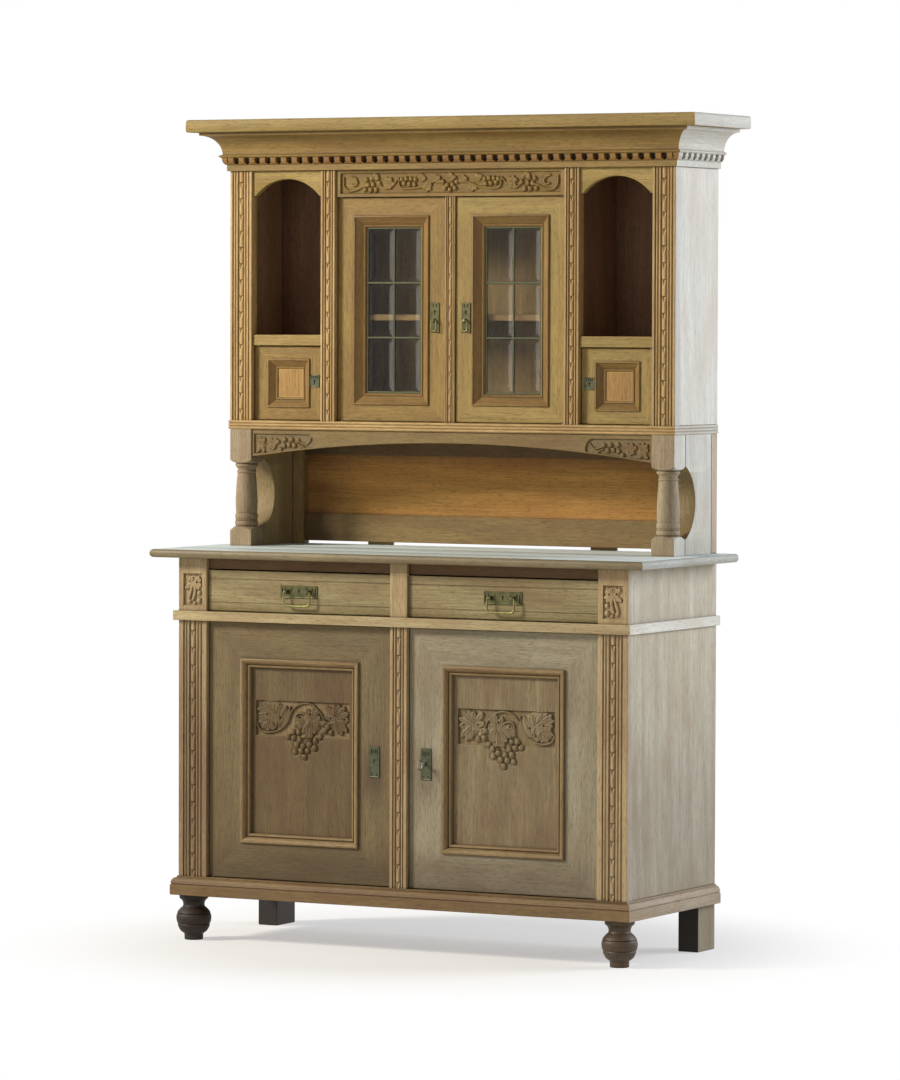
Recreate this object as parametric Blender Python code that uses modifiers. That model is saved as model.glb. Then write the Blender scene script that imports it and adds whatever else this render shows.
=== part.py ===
# Oak buffet cabinet in two parts. The base has two panelled doors and two drawers. The upper
# part is set back, stands on turned balusters over an open serving space, and has two leaded
# glass doors between small doors and open arched niches, under a notched cornice.
# Metres, +Z up, front towards -Y, origin on the floor under the middle of the cabinet.

import math

import bmesh
import bpy
from mathutils import Matrix, Vector

# Clearances
FIT = 0.0003                    # between pieces that rest on or in each other
DOOR_SIDE_GAP = 0.0015          # at the upright edges of a door
DOOR_END_GAP = 0.002            # above and below a door
DRAWER_GAP = 0.002              # above and below a drawer front
SWING_GAP = 0.0035              # behind a closed door, for the edge that swings inwards
PIN_CLEARANCE = 0.0003          # round a pivot pin in its hole
WIRE_CLEARANCE = 0.0004         # round a handle's wire in its posts

# Carcass
CASE_WIDTH = 1.300
BASE_DEPTH = 0.512
UPPER_DEPTH = 0.252
SIDE_BOARD = 0.020
BACK_BOARD = 0.012
FLOOR_BOARD = 0.020
SHELF_BOARD = 0.016

# Heights, stacked from the floor
FOOT_HEIGHT = 0.119
PLINTH_HEIGHT = 0.049
DOOR_OPENING = 0.666
WAIST_HEIGHT = 0.025
DRAWER_OPENING = 0.110
TOP_RAIL_HEIGHT = 0.028
COUNTER_THICKNESS = 0.0215
GALLERY_HEIGHT = 0.307
UPPER_FLOOR_THICKNESS = 0.0235
GLAZED_OPENING = 0.584
FRIEZE_HEIGHT = 0.070
CORNICE_HEIGHT = 0.100
CORNICE_BOARD = 0.033

# Feet and plinth
FOOT_INSET = 0.054              # foot axis in from the plinth's outer faces
LEFT_FOOT_INSET = 0.041         # the left foot stands nearer its end of the plinth
FOOT_DISC_RADIUS = 0.038
FOOT_DISC_HEIGHT = 0.012
FOOT_NECK_RADIUS = 0.0275
FOOT_NECK_HEIGHT = 0.020
FOOT_BULB_RADIUS = 0.046
FOOT_TOE_RADIUS = 0.024
FOOT_TOE_HEIGHT = 0.014
RING_GROOVE = 0.0028            # depth of the rings cut round the bulb
BACK_FOOT_WIDTH = 0.057
BACK_FOOT_DEPTH = 0.098
PLINTH_OUT = 0.0164
PLINTH_FLAT = 0.027
PLINTH_TOP_OUT = 0.004
PLINTH_FRAME = 0.060            # plinth rails, inwards from the carcass faces

# Base front
CORNER_STILE_WIDTH = 0.084
CENTRE_STILE_WIDTH = 0.049
STILE_DEPTH = 0.030
CORNER_FLUTES = (("hollow", 0.0085, 0.006), ("bead", 0.006, 0.005), ("bead", 0.0055, 0.005),
                 ("groove", 0.0035, 0.008))
CENTRE_FLUTES = (("groove", 0.003, 0.004), ("bead", 0.0055, 0.004), ("groove", 0.003, 0.006))
CORNER_LINK_WIDTH = 0.015
CENTRE_LINK_WIDTH = 0.010
LINK_PITCH = 0.0445
LINK_END_MARGIN = 0.010
BLOCK_RECESS_WIDTH = 0.056      # carved field on the corner blocks beside the drawers
BLOCK_RECESS_HEIGHT = 0.082
BLOCK_RECESS_DEPTH = 0.005
WAIST_OUT = 0.011
WAIST_EDGE = 0.002
BEARER_THICKNESS = 0.018
GUIDE_WIDTH = 0.020
GUIDE_HEIGHT = 0.030
TOP_RAIL_RECESS = 0.012
TOP_RAIL_DEPTH = 0.020
COUNTER_SIDE_OVERHANG = 0.062
COUNTER_FRONT_OVERHANG = 0.045
SHELF_HEIGHT = 0.330            # base shelf above the base floor
SHELF_SETBACK = 0.060

# Panelled doors of the base
DOOR_RECESS = 0.013
DOOR_THICKNESS = 0.026
DOOR_STILE = 0.095
DOOR_RAIL = 0.092
DOOR_MOULDING_WIDTH = 0.0245
DOOR_MOULDING_HEIGHT = 0.008
DOOR_PANEL_RECESS = 0.015
PANEL_THICKNESS = 0.010
PANEL_LIP = 0.008               # panel hidden behind the moulding all round
PIVOT_INSET = 0.010             # hinge axis in from the door's edge
PIVOT_DEPTH = 0.004             # hinge axis behind the door's face
PIN_RADIUS = 0.0025
PIN_LENGTH = 0.008
PIN_SEAT = 0.003                # pin let into the door

# Drawers
DRAWER_RECESS = 0.009
DRAWER_FRONT = 0.022
DRAWER_WALL = 0.012
DRAWER_BOTTOM = 0.008
DRAWER_WALL_HEIGHT = 0.085
DRAWER_LENGTH = 0.440
DRAWER_BOX_INSET = 0.002        # box sides in from the ends of the front
DRAWER_LINE_INSET = 0.022       # incised line in from the front's long edges
DRAWER_LINE_WIDTH = 0.0024
DRAWER_LINE_DEPTH = 0.0012

# Open serving space
BALUSTER_SIZE = 0.065
BALUSTER_FOOT = 0.050
BALUSTER_HEAD = 0.089
BALUSTER_SHOULDER = 0.018
BALUSTER_NECK_RADIUS = 0.022
BALUSTER_RING_RADIUS = 0.0305
BALUSTER_BELLY_RADIUS = 0.0295
BRACKET_THICKNESS = 0.065       # as thick as the balusters' blocks
BRACKET_CUT_RADIUS = 0.104
BRACKET_CUT_DEPTH = 0.058
BRACKET_GROOVE = 0.003          # shadow gap between bracket and gallery frame
GALLERY_STILE_DEPTH = 0.033
GALLERY_STILE_WIDTH = 0.098
GALLERY_RAIL_DEPTH = 0.022
GALLERY_PANEL = 0.010
GALLERY_RAIL_TOP = 0.080        # top of the lower rail above the counter
GALLERY_TOP_RAIL = 0.070
GALLERY_SLIT = 0.008            # light gap under the lower rail
GALLERY_BLOCK_WIDTH = 0.075
GALLERY_BLOCK_PLACE = 0.330
APRON_RECESS = 0.004
APRON_THICKNESS = 0.020
APRON_END_HEIGHT = 0.0716
APRON_CROWN_HEIGHT = 0.0296

# Upper front
REED_OUT = 0.0034
REED_COUNT = 3
OUTER_STILE_WIDTH = 0.065
INNER_STILE_WIDTH = 0.042
UPPER_STILE_DEPTH = 0.028
GLAZED_BAY_HALF = 0.335         # middle of the cabinet to the inner stile
CENTRE_POST_WIDTH = 0.028
CENTRE_POST_RECESS = 0.010
OUTER_FLUTES = (("hollow", 0.007, 0.005), ("bead", 0.006, 0.004), ("groove", 0.004, 0.008))
INNER_FLUTES = (("groove", 0.0025, 0.004), ("bead", 0.005, 0.004), ("groove", 0.0025, 0.006))
POST_FLUTES = (("groove", 0.002, 0.003), ("bead", 0.0035, 0.003), ("groove", 0.0015, 0.005))
POST_LINK_WIDTH = 0.008
UPPER_LINK_PITCH = 0.0425
PARTITION = 0.018
UPPER_DOOR_RECESS = 0.016
UPPER_DOOR_THICKNESS = 0.024
GLAZED_STILE = 0.048
GLAZED_BOTTOM_RAIL = 0.042
GLAZED_TOP_RAIL = 0.047
GLAZED_MOULDING_WIDTH = 0.030
GLAZED_MOULDING_HEIGHT = 0.005
GLASS_RECESS = 0.014
GLASS_THICKNESS = 0.003
CAME_WIDTH = 0.006
CAME_PROUD = 0.0012
PANE_BEVEL = 0.012
PANE_RISE = 0.001
PANE_COLUMNS = 2
PANE_ROWS = 3
SMALL_DOOR_OPENING = 0.197
NICHE_FLOOR = 0.028
NICHE_FLOOR_RECESS = 0.006
SMALL_PANEL_OUTER = 0.128
SMALL_PANEL_INNER = 0.073
SMALL_PANEL_RISE = 0.004
SMALL_PANEL_DEPTH = 0.009
ARCH_BOARD_HEIGHT = 0.066
ARCH_RISE = 0.044
ARCH_SHOULDER = 0.008
ARCH_RECESS = 0.006
ARCH_THICKNESS = 0.018
FRIEZE_RECESS = 0.006
FRIEZE_THICKNESS = 0.024
UPPER_SHELF_HEIGHT = 0.263      # glazed compartment's shelf above its floor

# Cornice
CORNICE_WALL = 0.022            # cornice frame, inwards from the carcass faces
BAND_HEIGHT = 0.016
BAND_OUT = 0.0065
OVOLO_HEIGHT = 0.018
OVOLO_OUT = 0.0165
BEAD_HEIGHT = 0.009
BEAD_OUT = 0.023
COVE_FOOT_OUT = 0.015
COVE_OUT = 0.058
FILLET_HEIGHT = 0.008
FILLET_OUT = 0.060
SLAB_SIDE_OUT = 0.090
SLAB_FRONT_OUT = 0.078
NOTCH_PITCH = 0.032
NOTCH_WIDTH = 0.011
NOTCH_DEPTH = 0.007
CROWN_FLOOR = 0.012

# Handles, plates and key
PULL_HEIGHT = 0.056             # drawer pull's axis above the waist rail
PULL_PLATE = (0.110, 0.033)
PLATE_THICKNESS = 0.002
PULL_POST_PLACE = 0.0315
PULL_POST_RADIUS = 0.004
PULL_STAND_OFF = 0.013
BAIL_WIRE = 0.002
BAIL_HALF_WIDTH = 0.0385
BAIL_DROP = 0.0355
BAIL_CORNER = 0.007
PULL_AXIS_RISE = 0.0005         # pull axis above the plate's middle
DROP_PLATE = (0.027, 0.077)
DROP_PLATE_EDGE = 0.030         # drop plate's middle in from the door's free edge
DROP_PLATE_HEIGHT = 0.271       # above the upper floor
DROP_BOSS_RADIUS = 0.0042
DROP_STAND_OFF = 0.008
DROP_WIRE = 0.0014
DROP_HALF_WIDTH = 0.0071
DROP_LENGTH = 0.026
DROP_AXIS_FALL = 0.008          # pull axis below the plate's middle
KEYHOLE_RADIUS = 0.0028
KEYHOLE_SLOT = (0.0024, 0.010)
KEYHOLE_RISE = 0.013            # drop plate's keyhole above the plate's middle
KEY_EDGE = 0.049                # key in from the base door's free edge
KEY_HEIGHT = 0.319              # key above the plinth
KEY_RADIUS = 0.0025
KEY_REACH = 0.024               # shank in front of the door
KEY_BOW_RADIUS = 0.0105
KEY_BOW_WIRE = 0.0019
KEY_COLLAR_RADIUS = 0.004
KEY_COLLAR_LENGTH = 0.003
KEY_BIT = (0.0024, 0.007, 0.010)

# Facets of round work
TURNING_STEPS = 16
LINK_STEPS = 6
ROUND_STEPS = 16
ARC_STEPS = 20

# Places worked out from the sizes
HALF = CASE_WIDTH / 2
BACK = (BASE_DEPTH + COUNTER_FRONT_OVERHANG) / 2
BASE_FRONT = BACK - BASE_DEPTH
UPPER_FRONT = BACK - UPPER_DEPTH
INSIDE = HALF - SIDE_BOARD
INNER_BACK = BACK - BACK_BOARD
PLINTH_TOP = FOOT_HEIGHT + PLINTH_HEIGHT
WAIST_LOW = PLINTH_TOP + DOOR_OPENING
WAIST_TOP = WAIST_LOW + WAIST_HEIGHT
DRAWER_TOP = WAIST_TOP + DRAWER_OPENING
COUNTER_LOW = DRAWER_TOP + TOP_RAIL_HEIGHT
COUNTER_TOP = COUNTER_LOW + COUNTER_THICKNESS
GALLERY_TOP = COUNTER_TOP + GALLERY_HEIGHT
UPPER_LOW = GALLERY_TOP + UPPER_FLOOR_THICKNESS
FRIEZE_LOW = UPPER_LOW + GLAZED_OPENING
UPPER_TOP = FRIEZE_LOW + FRIEZE_HEIGHT
SLAB_LOW = UPPER_TOP + CORNICE_HEIGHT
OVERALL_HEIGHT = SLAB_LOW + CORNICE_BOARD
BASE_OPENING_EDGE = HALF - CORNER_STILE_WIDTH
NICHE_EDGE = HALF - OUTER_STILE_WIDTH
INNER_STILE_EDGE = GLAZED_BAY_HALF + INNER_STILE_WIDTH
PARTITION_MIDDLE = GLAZED_BAY_HALF + INNER_STILE_WIDTH / 2
SMALL_DOOR_TOP = UPPER_LOW + SMALL_DOOR_OPENING
NICHE_LOW = SMALL_DOOR_TOP + NICHE_FLOOR
SIDES = (("left", -1), ("right", 1))

UPRIGHT_FRONT = Matrix.Rotation(math.pi / 2, 4, "X")     # an outline's u, v become X, Z
UPRIGHT_SIDE = Matrix.Rotation(math.pi / 2, 4, "Z") @ UPRIGHT_FRONT     # u, v become Y, Z

for old in list(bpy.data.objects):
    bpy.data.objects.remove(old)
parts = bpy.data.collections.new("buffet_cabinet")
cutters = bpy.data.collections.new("buffet_cabinet_cutters")
bpy.context.scene.collection.children.link(parts)
bpy.context.scene.collection.children.link(cutters)


def finish_material(name, colour, roughness, metallic=0.0):
    material = bpy.data.materials.new(name)
    material.use_nodes = True
    shader = material.node_tree.nodes["Principled BSDF"]
    shader.inputs["Base Color"].default_value = (*colour, 1.0)
    shader.inputs["Roughness"].default_value = roughness
    shader.inputs["Metallic"].default_value = metallic
    return material


LIMED_OAK = finish_material("limed_oak", (0.33, 0.25, 0.15), 0.62)
GOLDEN_OAK = finish_material("golden_oak", (0.40, 0.27, 0.12), 0.55)
GREY_OAK = finish_material("greyed_counter_oak", (0.30, 0.28, 0.23), 0.50)
NICHE_OAK = finish_material("stained_inner_oak", (0.10, 0.045, 0.020), 0.60)
PANEL_OAK = finish_material("amber_back_oak", (0.34, 0.17, 0.05), 0.55)
FOOT_OAK = finish_material("dark_foot_oak", (0.12, 0.07, 0.035), 0.60)
BRASS = finish_material("aged_brass", (0.28, 0.21, 0.09), 0.42, 1.0)
STEEL = finish_material("key_steel", (0.45, 0.44, 0.42), 0.40, 1.0)
GLASS = finish_material("leaded_glass", (0.45, 0.47, 0.42), 0.08)


# An object with no material is a cutter or an operand, and isn't part of the cabinet
def add_object(name, mesh, location, material):
    thing = bpy.data.objects.new(name, mesh)
    thing.location = location
    if material:
        mesh.materials.append(material)
        parts.objects.link(thing)
    else:
        thing.hide_render = True
        thing.display_type = "WIRE"
        cutters.objects.link(thing)
    return thing


def add_solid(name, work, location, material):
    bmesh.ops.recalc_face_normals(work, faces=work.faces)
    if work.calc_volume(signed=True) < 0:
        bmesh.ops.reverse_faces(work, faces=work.faces)
    mesh = bpy.data.meshes.new(name)
    work.to_mesh(mesh)
    work.free()
    return add_object(name, mesh, location, material)


def box(name, low, high, material=None):
    low = Vector(low)
    high = Vector(high)
    work = bmesh.new()
    bmesh.ops.create_cube(work, size=1.0)
    bmesh.ops.scale(work, vec=high - low, verts=work.verts)
    return add_solid(name, work, (low + high) / 2, material)


# A box given by its distances from the middle of the cabinet on one side of it
def side_box(name, side, near, far, front, back, low, high, material=None):
    edges = sorted((side * near, side * far))
    return box(name, (edges[0], front, low), (edges[1], back, high), material)


# Like sections joined in order, capped at both ends or closed into a ring
def loft(name, sections, material=None, ring=False, origin=(0, 0, 0)):
    work = bmesh.new()
    place = Vector(origin)
    rows = [[work.verts.new(Vector(point) - place) for point in section] for section in sections]
    pairs = list(zip(rows, rows[1:]))
    if ring:
        pairs.append((rows[-1], rows[0]))
    count = len(rows[0])
    for here, there in pairs:
        for i in range(count):
            j = (i + 1) % count
            work.faces.new((here[i], here[j], there[j], there[i]))
    if not ring:
        work.faces.new(rows[0])
        work.faces.new(rows[-1])
    return add_solid(name, work, place, material)


def upright_rectangle(x0, x1, z0, z1, y):
    return [(x0, y, z0), (x1, y, z0), (x1, y, z1), (x0, y, z1)]


def level_rectangle(half, front, back, z):
    return [(-half, front, z), (half, front, z), (half, back, z), (-half, back, z)]


# A moulding carried along the left side, the front and the right side, mitred at the corners.
# The profile's points are (out from the carcass face, height).
def wrapped_sections(profile, half, front, back):
    return [[(-half - out, back, z) for out, z in profile],
            [(-half - out, front - out, z) for out, z in profile],
            [(half + out, front - out, z) for out, z in profile],
            [(half + out, back, z) for out, z in profile]]


def curve_to_solid(name, curve, matrix, material):
    drawn = bpy.data.objects.new(name + "_drawn", curve)
    bpy.context.scene.collection.objects.link(drawn)
    bpy.context.view_layer.update()
    graph = bpy.context.evaluated_depsgraph_get()
    mesh = bpy.data.meshes.new_from_object(drawn.evaluated_get(graph))
    bpy.data.objects.remove(drawn)
    bpy.data.curves.remove(curve)
    work = bmesh.new()
    work.from_mesh(mesh)
    bpy.data.meshes.remove(mesh)
    bmesh.ops.remove_doubles(work, verts=work.verts, dist=0.00001)
    bmesh.ops.holes_fill(work, edges=work.edges, sides=0)
    work.transform(matrix.to_3x3().to_4x4())
    return add_solid(name, work, matrix.to_translation(), material)


# A flat outline with a thickness to both sides of its plane
def outlined(name, outline, thickness, matrix, material=None):
    curve = bpy.data.curves.new(name, "CURVE")
    curve.dimensions = "2D"
    curve.fill_mode = "NONE"
    curve.extrude = thickness / 2
    spline = curve.splines.new("POLY")
    spline.points.add(len(outline) - 1)
    for point, (u, v) in zip(spline.points, outline):
        point.co = (u, v, 0, 1)
    spline.use_cyclic_u = True
    return curve_to_solid(name, curve, matrix, material)


def wire(name, path, radius, location, material=None):
    curve = bpy.data.curves.new(name, "CURVE")
    curve.dimensions = "3D"
    curve.bevel_depth = radius
    curve.bevel_resolution = 1
    curve.use_fill_caps = True
    spline = curve.splines.new("POLY")
    spline.points.add(len(path) - 1)
    for point, place in zip(spline.points, path):
        point.co = (*place, 1)
    return curve_to_solid(name, curve, Matrix.Translation(location), material)


# A profile of (radius, height) from top to bottom, turned about its upright axis
def turned(name, profile, location, steps, material=None):
    mesh = bpy.data.meshes.new(name)
    points = [(radius, 0, height) for radius, height in profile]
    edges = [(i, i + 1) for i in range(len(points) - 1)]
    mesh.from_pydata(points, edges, [])
    piece = add_object(name, mesh, location, material)
    screw = piece.modifiers.new("turning", "SCREW")
    screw.axis = "Z"
    screw.steps = steps
    screw.render_steps = steps
    screw.use_merge_vertices = True
    screw.merge_threshold = 0.00002
    screw.use_smooth_shade = True
    return piece


# A round bar from one point along an axis
def bar(name, start, axis, length, radius, material=None, steps=ROUND_STEPS):
    work = bmesh.new()
    bmesh.ops.create_cone(work, cap_ends=True, segments=steps, radius1=radius, radius2=radius, depth=length)
    direction = Vector(axis).normalized()
    work.transform(Vector((0, 0, 1)).rotation_difference(direction).to_matrix().to_4x4())
    return add_solid(name, work, Vector(start) + direction * length / 2, material)


def boolean(piece, other, operation):
    step = piece.modifiers.new(other.name, "BOOLEAN")
    step.operation = operation
    step.solver = "EXACT"
    step.object = other


def unite(piece, *others):
    for other in others:
        boolean(piece, other, "UNION")


def cut(piece, *others):
    for other in others:
        boolean(piece, other, "DIFFERENCE")


# A moving group's joint: an empty on the axis that carries the group's pieces
def joint(name, place, pieces):
    axis = bpy.data.objects.new(name, None)
    axis.location = place
    axis.empty_display_size = 0.03
    parts.objects.link(axis)
    for piece in pieces:
        piece.parent = axis
        piece.location = piece.location - Vector(place)
    return axis


# Points on a circular arc from one end of a chord to the other, rising by its sagitta
def arc(start, end, rise, steps=ARC_STEPS):
    a = Vector(start)
    b = Vector(end)
    half = (b - a).length / 2
    radius = (half * half + rise * rise) / (2 * abs(rise))
    along = (b - a).normalized()
    across = Vector((-along.y, along.x)) * math.copysign(1, rise)
    sweep = math.atan2(half, radius - abs(rise))
    points = []
    for i in range(steps + 1):
        angle = sweep * (2 * i / steps - 1)
        lift = radius * math.cos(angle) - (radius - abs(rise))
        points.append(tuple((a + b) / 2 + along * radius * math.sin(angle) + across * lift))
    return points


# Plan of a fluted stile: flat edges, then hollows, beads and grooves in towards the links.
# Points are (across, behind the face).
def stile_plan(width, depth, flutes, link_width):
    fluted = sum(flute[1] for flute in flutes)
    place = -link_width / 2 - fluted
    half = [(-width / 2, 0.0), (place, 0.0)]
    for kind, across, deep in flutes:
        if kind == "hollow":
            half += [(place + across * t, deep * math.sin(math.pi * t)) for t in (0.2, 0.5, 0.8)]
            half.append((place + across, 0.0))
        elif kind == "bead":
            half.append((place + across * 0.02, deep))
            half += [(place + across * t, deep - across * 0.45 * math.sin(math.pi * t)) for t in (0.2, 0.5, 0.8)]
            half.append((place + across * 0.98, deep))
        else:
            half += [(place, deep), (place + across, deep)]
        place += across
    right = [(-u, v) for u, v in reversed(half)]
    return [(-width / 2, depth)] + half + right + [(width / 2, depth)]


# A string of links: each has a round lower end and tapers up to a narrow scooped neck
def link_profile(width, pitch, length):
    radius = width / 2
    count = int(length / pitch)
    top = (length + count * pitch) / 2
    profile = [(0.0, top)]
    for i in range(count):
        head = top - i * pitch
        profile += [(radius * 0.50, head - pitch * 0.02), (radius, head - pitch * 0.25),
                    (radius * 0.94, head - pitch * 0.88)]
    profile.append((0.0, top - count * pitch))
    return profile


def fluted_stile(name, middle, front, low, high, sizes, pitch, material):
    width, depth, flutes, link_width = sizes
    place = Matrix.Translation((middle, front, (low + high) / 2))
    plan = stile_plan(width, depth, flutes, link_width)
    stile = outlined(name, plan, high - low, place, material)
    length = high - low - 2 * LINK_END_MARGIN
    axis = (middle, front + link_width / 2 + 0.0005, low + LINK_END_MARGIN)
    unite(stile, turned(name + "_links", link_profile(link_width, pitch, length), axis, LINK_STEPS))
    return stile


def make_feet():
    top = FOOT_HEIGHT - FIT
    neck_top = top - FOOT_DISC_HEIGHT
    bulb_top = neck_top - FOOT_NECK_HEIGHT
    bulb = bulb_top - FOOT_TOE_HEIGHT
    profile = [(0, top), (FOOT_DISC_RADIUS, top), (FOOT_DISC_RADIUS, neck_top)]
    neck_edge = FOOT_DISC_RADIUS - 0.004
    for t in (0.0, 0.25, 0.5, 0.75, 1.0):
        dip = (neck_edge - FOOT_NECK_RADIUS) * math.sin(math.pi * t)
        profile.append((neck_edge - dip, neck_top - FOOT_NECK_HEIGHT * t))
    for t in (0.12, 0.26, 0.34, 0.37, 0.41, 0.52, 0.63, 0.67, 0.70, 0.82, 0.93):
        swell = math.sin(math.pi * (0.18 + 0.68 * t))
        groove = RING_GROOVE if t in (0.37, 0.67) else 0.0
        profile.append((FOOT_BULB_RADIUS * swell - groove, bulb_top - bulb * t))
    profile += [(FOOT_TOE_RADIUS, FOOT_TOE_HEIGHT), (FOOT_TOE_RADIUS, 0), (0, 0)]
    for word, side in SIDES:
        x = side * (HALF + PLINTH_OUT - (LEFT_FOOT_INSET if side < 0 else FOOT_INSET))
        place = (x, BASE_FRONT - PLINTH_OUT + FOOT_INSET, 0)
        turned("foot_front_" + word, profile, place, TURNING_STEPS, FOOT_OAK)
        side_box("foot_back_" + word, side, HALF - BACK_FOOT_WIDTH, HALF, BACK - BACK_FOOT_DEPTH, BACK,
                 0, top, FOOT_OAK)


def make_plinth():
    low = FOOT_HEIGHT
    flat_top = low + PLINTH_FLAT
    profile = [(-PLINTH_FRAME, low), (PLINTH_OUT, low), (PLINTH_OUT, flat_top)]
    profile += [(PLINTH_OUT - 0.002, flat_top + 0.001), (PLINTH_OUT - 0.002, flat_top + 0.003)]
    curve_low = flat_top + 0.004
    rise = PLINTH_TOP - 0.004 - curve_low
    swing = PLINTH_OUT - PLINTH_TOP_OUT
    for i in range(6):
        angle = math.pi / 2 * i / 5
        profile.append((PLINTH_TOP_OUT + swing * math.cos(angle), curve_low + rise * math.sin(angle)))
    profile += [(PLINTH_TOP_OUT - 0.001, PLINTH_TOP), (-PLINTH_FRAME, PLINTH_TOP)]
    plinth = loft("plinth_frame", wrapped_sections(profile, HALF, BASE_FRONT, BACK), LIMED_OAK)
    for word, side in SIDES:
        cut(plinth, pin_hole("plinth_pivot_" + word, base_pivot(side), PLINTH_TOP, -1))


def base_pivot(side):
    x = side * (BASE_OPENING_EDGE - DOOR_SIDE_GAP - PIVOT_INSET)
    return Vector((x, BASE_FRONT + DOOR_RECESS + PIVOT_DEPTH, PLINTH_TOP))


# The hole for a pivot pin, from a face up or down into the piece that carries the door
def pin_hole(name, pivot, face, way):
    depth = PIN_LENGTH + 2 * DOOR_END_GAP
    start = (pivot.x, pivot.y, face - way * 0.001)
    return bar(name, start, (0, 0, way), depth + 0.001, PIN_RADIUS + PIN_CLEARANCE, None, 12)


def make_base_carcass():
    low = PLINTH_TOP + FIT
    high = COUNTER_LOW - FIT
    for word, side in SIDES:
        side_box("base_side_" + word, side, INSIDE, HALF, BASE_FRONT + STILE_DEPTH + FIT, BACK, low, high,
                 LIMED_OAK)
    box("base_back", (-INSIDE + FIT, INNER_BACK, low), (INSIDE - FIT, BACK, high), LIMED_OAK)
    door_back = BASE_FRONT + DOOR_RECESS + DOOR_THICKNESS
    floor_top = PLINTH_TOP + FLOOR_BOARD
    box("base_floor", (-INSIDE + FIT, door_back + SWING_GAP, low), (INSIDE - FIT, INNER_BACK - FIT, floor_top),
        LIMED_OAK)
    shelf_low = floor_top + SHELF_HEIGHT
    box("base_shelf", (-INSIDE + FIT, door_back + SHELF_SETBACK, shelf_low),
        (INSIDE - FIT, INNER_BACK - FIT, shelf_low + SHELF_BOARD), LIMED_OAK)


def make_base_stiles():
    low = PLINTH_TOP + FIT
    high = COUNTER_LOW - FIT
    shaft_high = WAIST_LOW + WAIST_HEIGHT * 0.6
    block_low = WAIST_LOW + WAIST_HEIGHT * 0.4
    corner = (CORNER_STILE_WIDTH, STILE_DEPTH, CORNER_FLUTES, CORNER_LINK_WIDTH)
    recess_middle = WAIST_TOP + DRAWER_OPENING / 2
    for word, side in SIDES:
        middle = side * (HALF - CORNER_STILE_WIDTH / 2)
        name = "corner_stile_" + word
        stile = fluted_stile(name, middle, BASE_FRONT, low, shaft_high, corner, LINK_PITCH, LIMED_OAK)
        unite(stile, side_box(name + "_block", side, BASE_OPENING_EDGE, HALF, BASE_FRONT,
                              BASE_FRONT + STILE_DEPTH, block_low, high))
        cut(stile, box(name + "_recess",
                       (middle - BLOCK_RECESS_WIDTH / 2, BASE_FRONT - 0.01, recess_middle - BLOCK_RECESS_HEIGHT / 2),
                       (middle + BLOCK_RECESS_WIDTH / 2, BASE_FRONT + BLOCK_RECESS_DEPTH,
                        recess_middle + BLOCK_RECESS_HEIGHT / 2)))
    centre = (CENTRE_STILE_WIDTH, STILE_DEPTH, CENTRE_FLUTES, CENTRE_LINK_WIDTH)
    stile = fluted_stile("centre_stile", 0, BASE_FRONT, low, shaft_high, centre, LINK_PITCH, LIMED_OAK)
    half = CENTRE_STILE_WIDTH / 2
    unite(stile, box("centre_stile_block", (-half, BASE_FRONT, block_low), (half, BASE_FRONT + STILE_DEPTH, high)))
    # the top rail is lapped behind the centre stile
    cut(stile, box("centre_stile_lap", (-0.1, BASE_FRONT + TOP_RAIL_RECESS, DRAWER_TOP - FIT),
                   (0.1, BASE_FRONT + STILE_DEPTH + 0.01, high + 0.01)))
    rail_front = BASE_FRONT + TOP_RAIL_RECESS + FIT
    box("top_rail", (-BASE_OPENING_EDGE + FIT, rail_front, DRAWER_TOP),
        (BASE_OPENING_EDGE - FIT, rail_front + TOP_RAIL_DEPTH, high), LIMED_OAK)


# The waist rail: a band round three sides, the rails between the stiles behind it, and the
# board with guide strips that the drawers run on
def make_waist_rail():
    edge = WAIST_OUT - WAIST_EDGE
    profile = [(FIT, WAIST_LOW), (edge, WAIST_LOW), (WAIST_OUT, WAIST_LOW + WAIST_EDGE),
               (WAIST_OUT, WAIST_TOP - WAIST_EDGE), (edge, WAIST_TOP), (FIT, WAIST_TOP)]
    rail = loft("waist_rail", wrapped_sections(profile, HALF, BASE_FRONT, BACK), LIMED_OAK)
    behind = BASE_FRONT + STILE_DEPTH + FIT
    bearer = box("drawer_bearer", (-INSIDE + FIT, behind, WAIST_TOP - BEARER_THICKNESS),
                 (INSIDE - FIT, INNER_BACK - FIT, WAIST_TOP))
    near = CENTRE_STILE_WIDTH / 2 + FIT
    far = BASE_OPENING_EDGE - FIT
    guide_back = INNER_BACK - GUIDE_WIDTH
    guide_low = WAIST_TOP - BEARER_THICKNESS / 2
    guide_high = WAIST_TOP + GUIDE_HEIGHT
    guide_front = BASE_FRONT + DRAWER_RECESS + DRAWER_FRONT + GUIDE_WIDTH
    drawer_far = far - DOOR_SIDE_GAP
    for word, side in SIDES:
        unite(rail, side_box("waist_bridge_" + word, side, near, far, BASE_FRONT - WAIST_OUT / 2,
                             behind + 0.010, WAIST_LOW + 0.001, WAIST_TOP - 0.001))
        unite(bearer, side_box("drawer_guide_" + word, side, drawer_far, drawer_far + GUIDE_WIDTH,
                               guide_front, guide_back, guide_low, guide_high))
    middle = CENTRE_STILE_WIDTH / 2 - FIT
    unite(bearer, box("drawer_guide_middle", (-middle, guide_front, guide_low), (middle, guide_back, guide_high)))
    unite(rail, bearer)
    for word, side in SIDES:
        cut(rail, pin_hole("waist_pivot_" + word, base_pivot(side), WAIST_LOW, 1))


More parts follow.
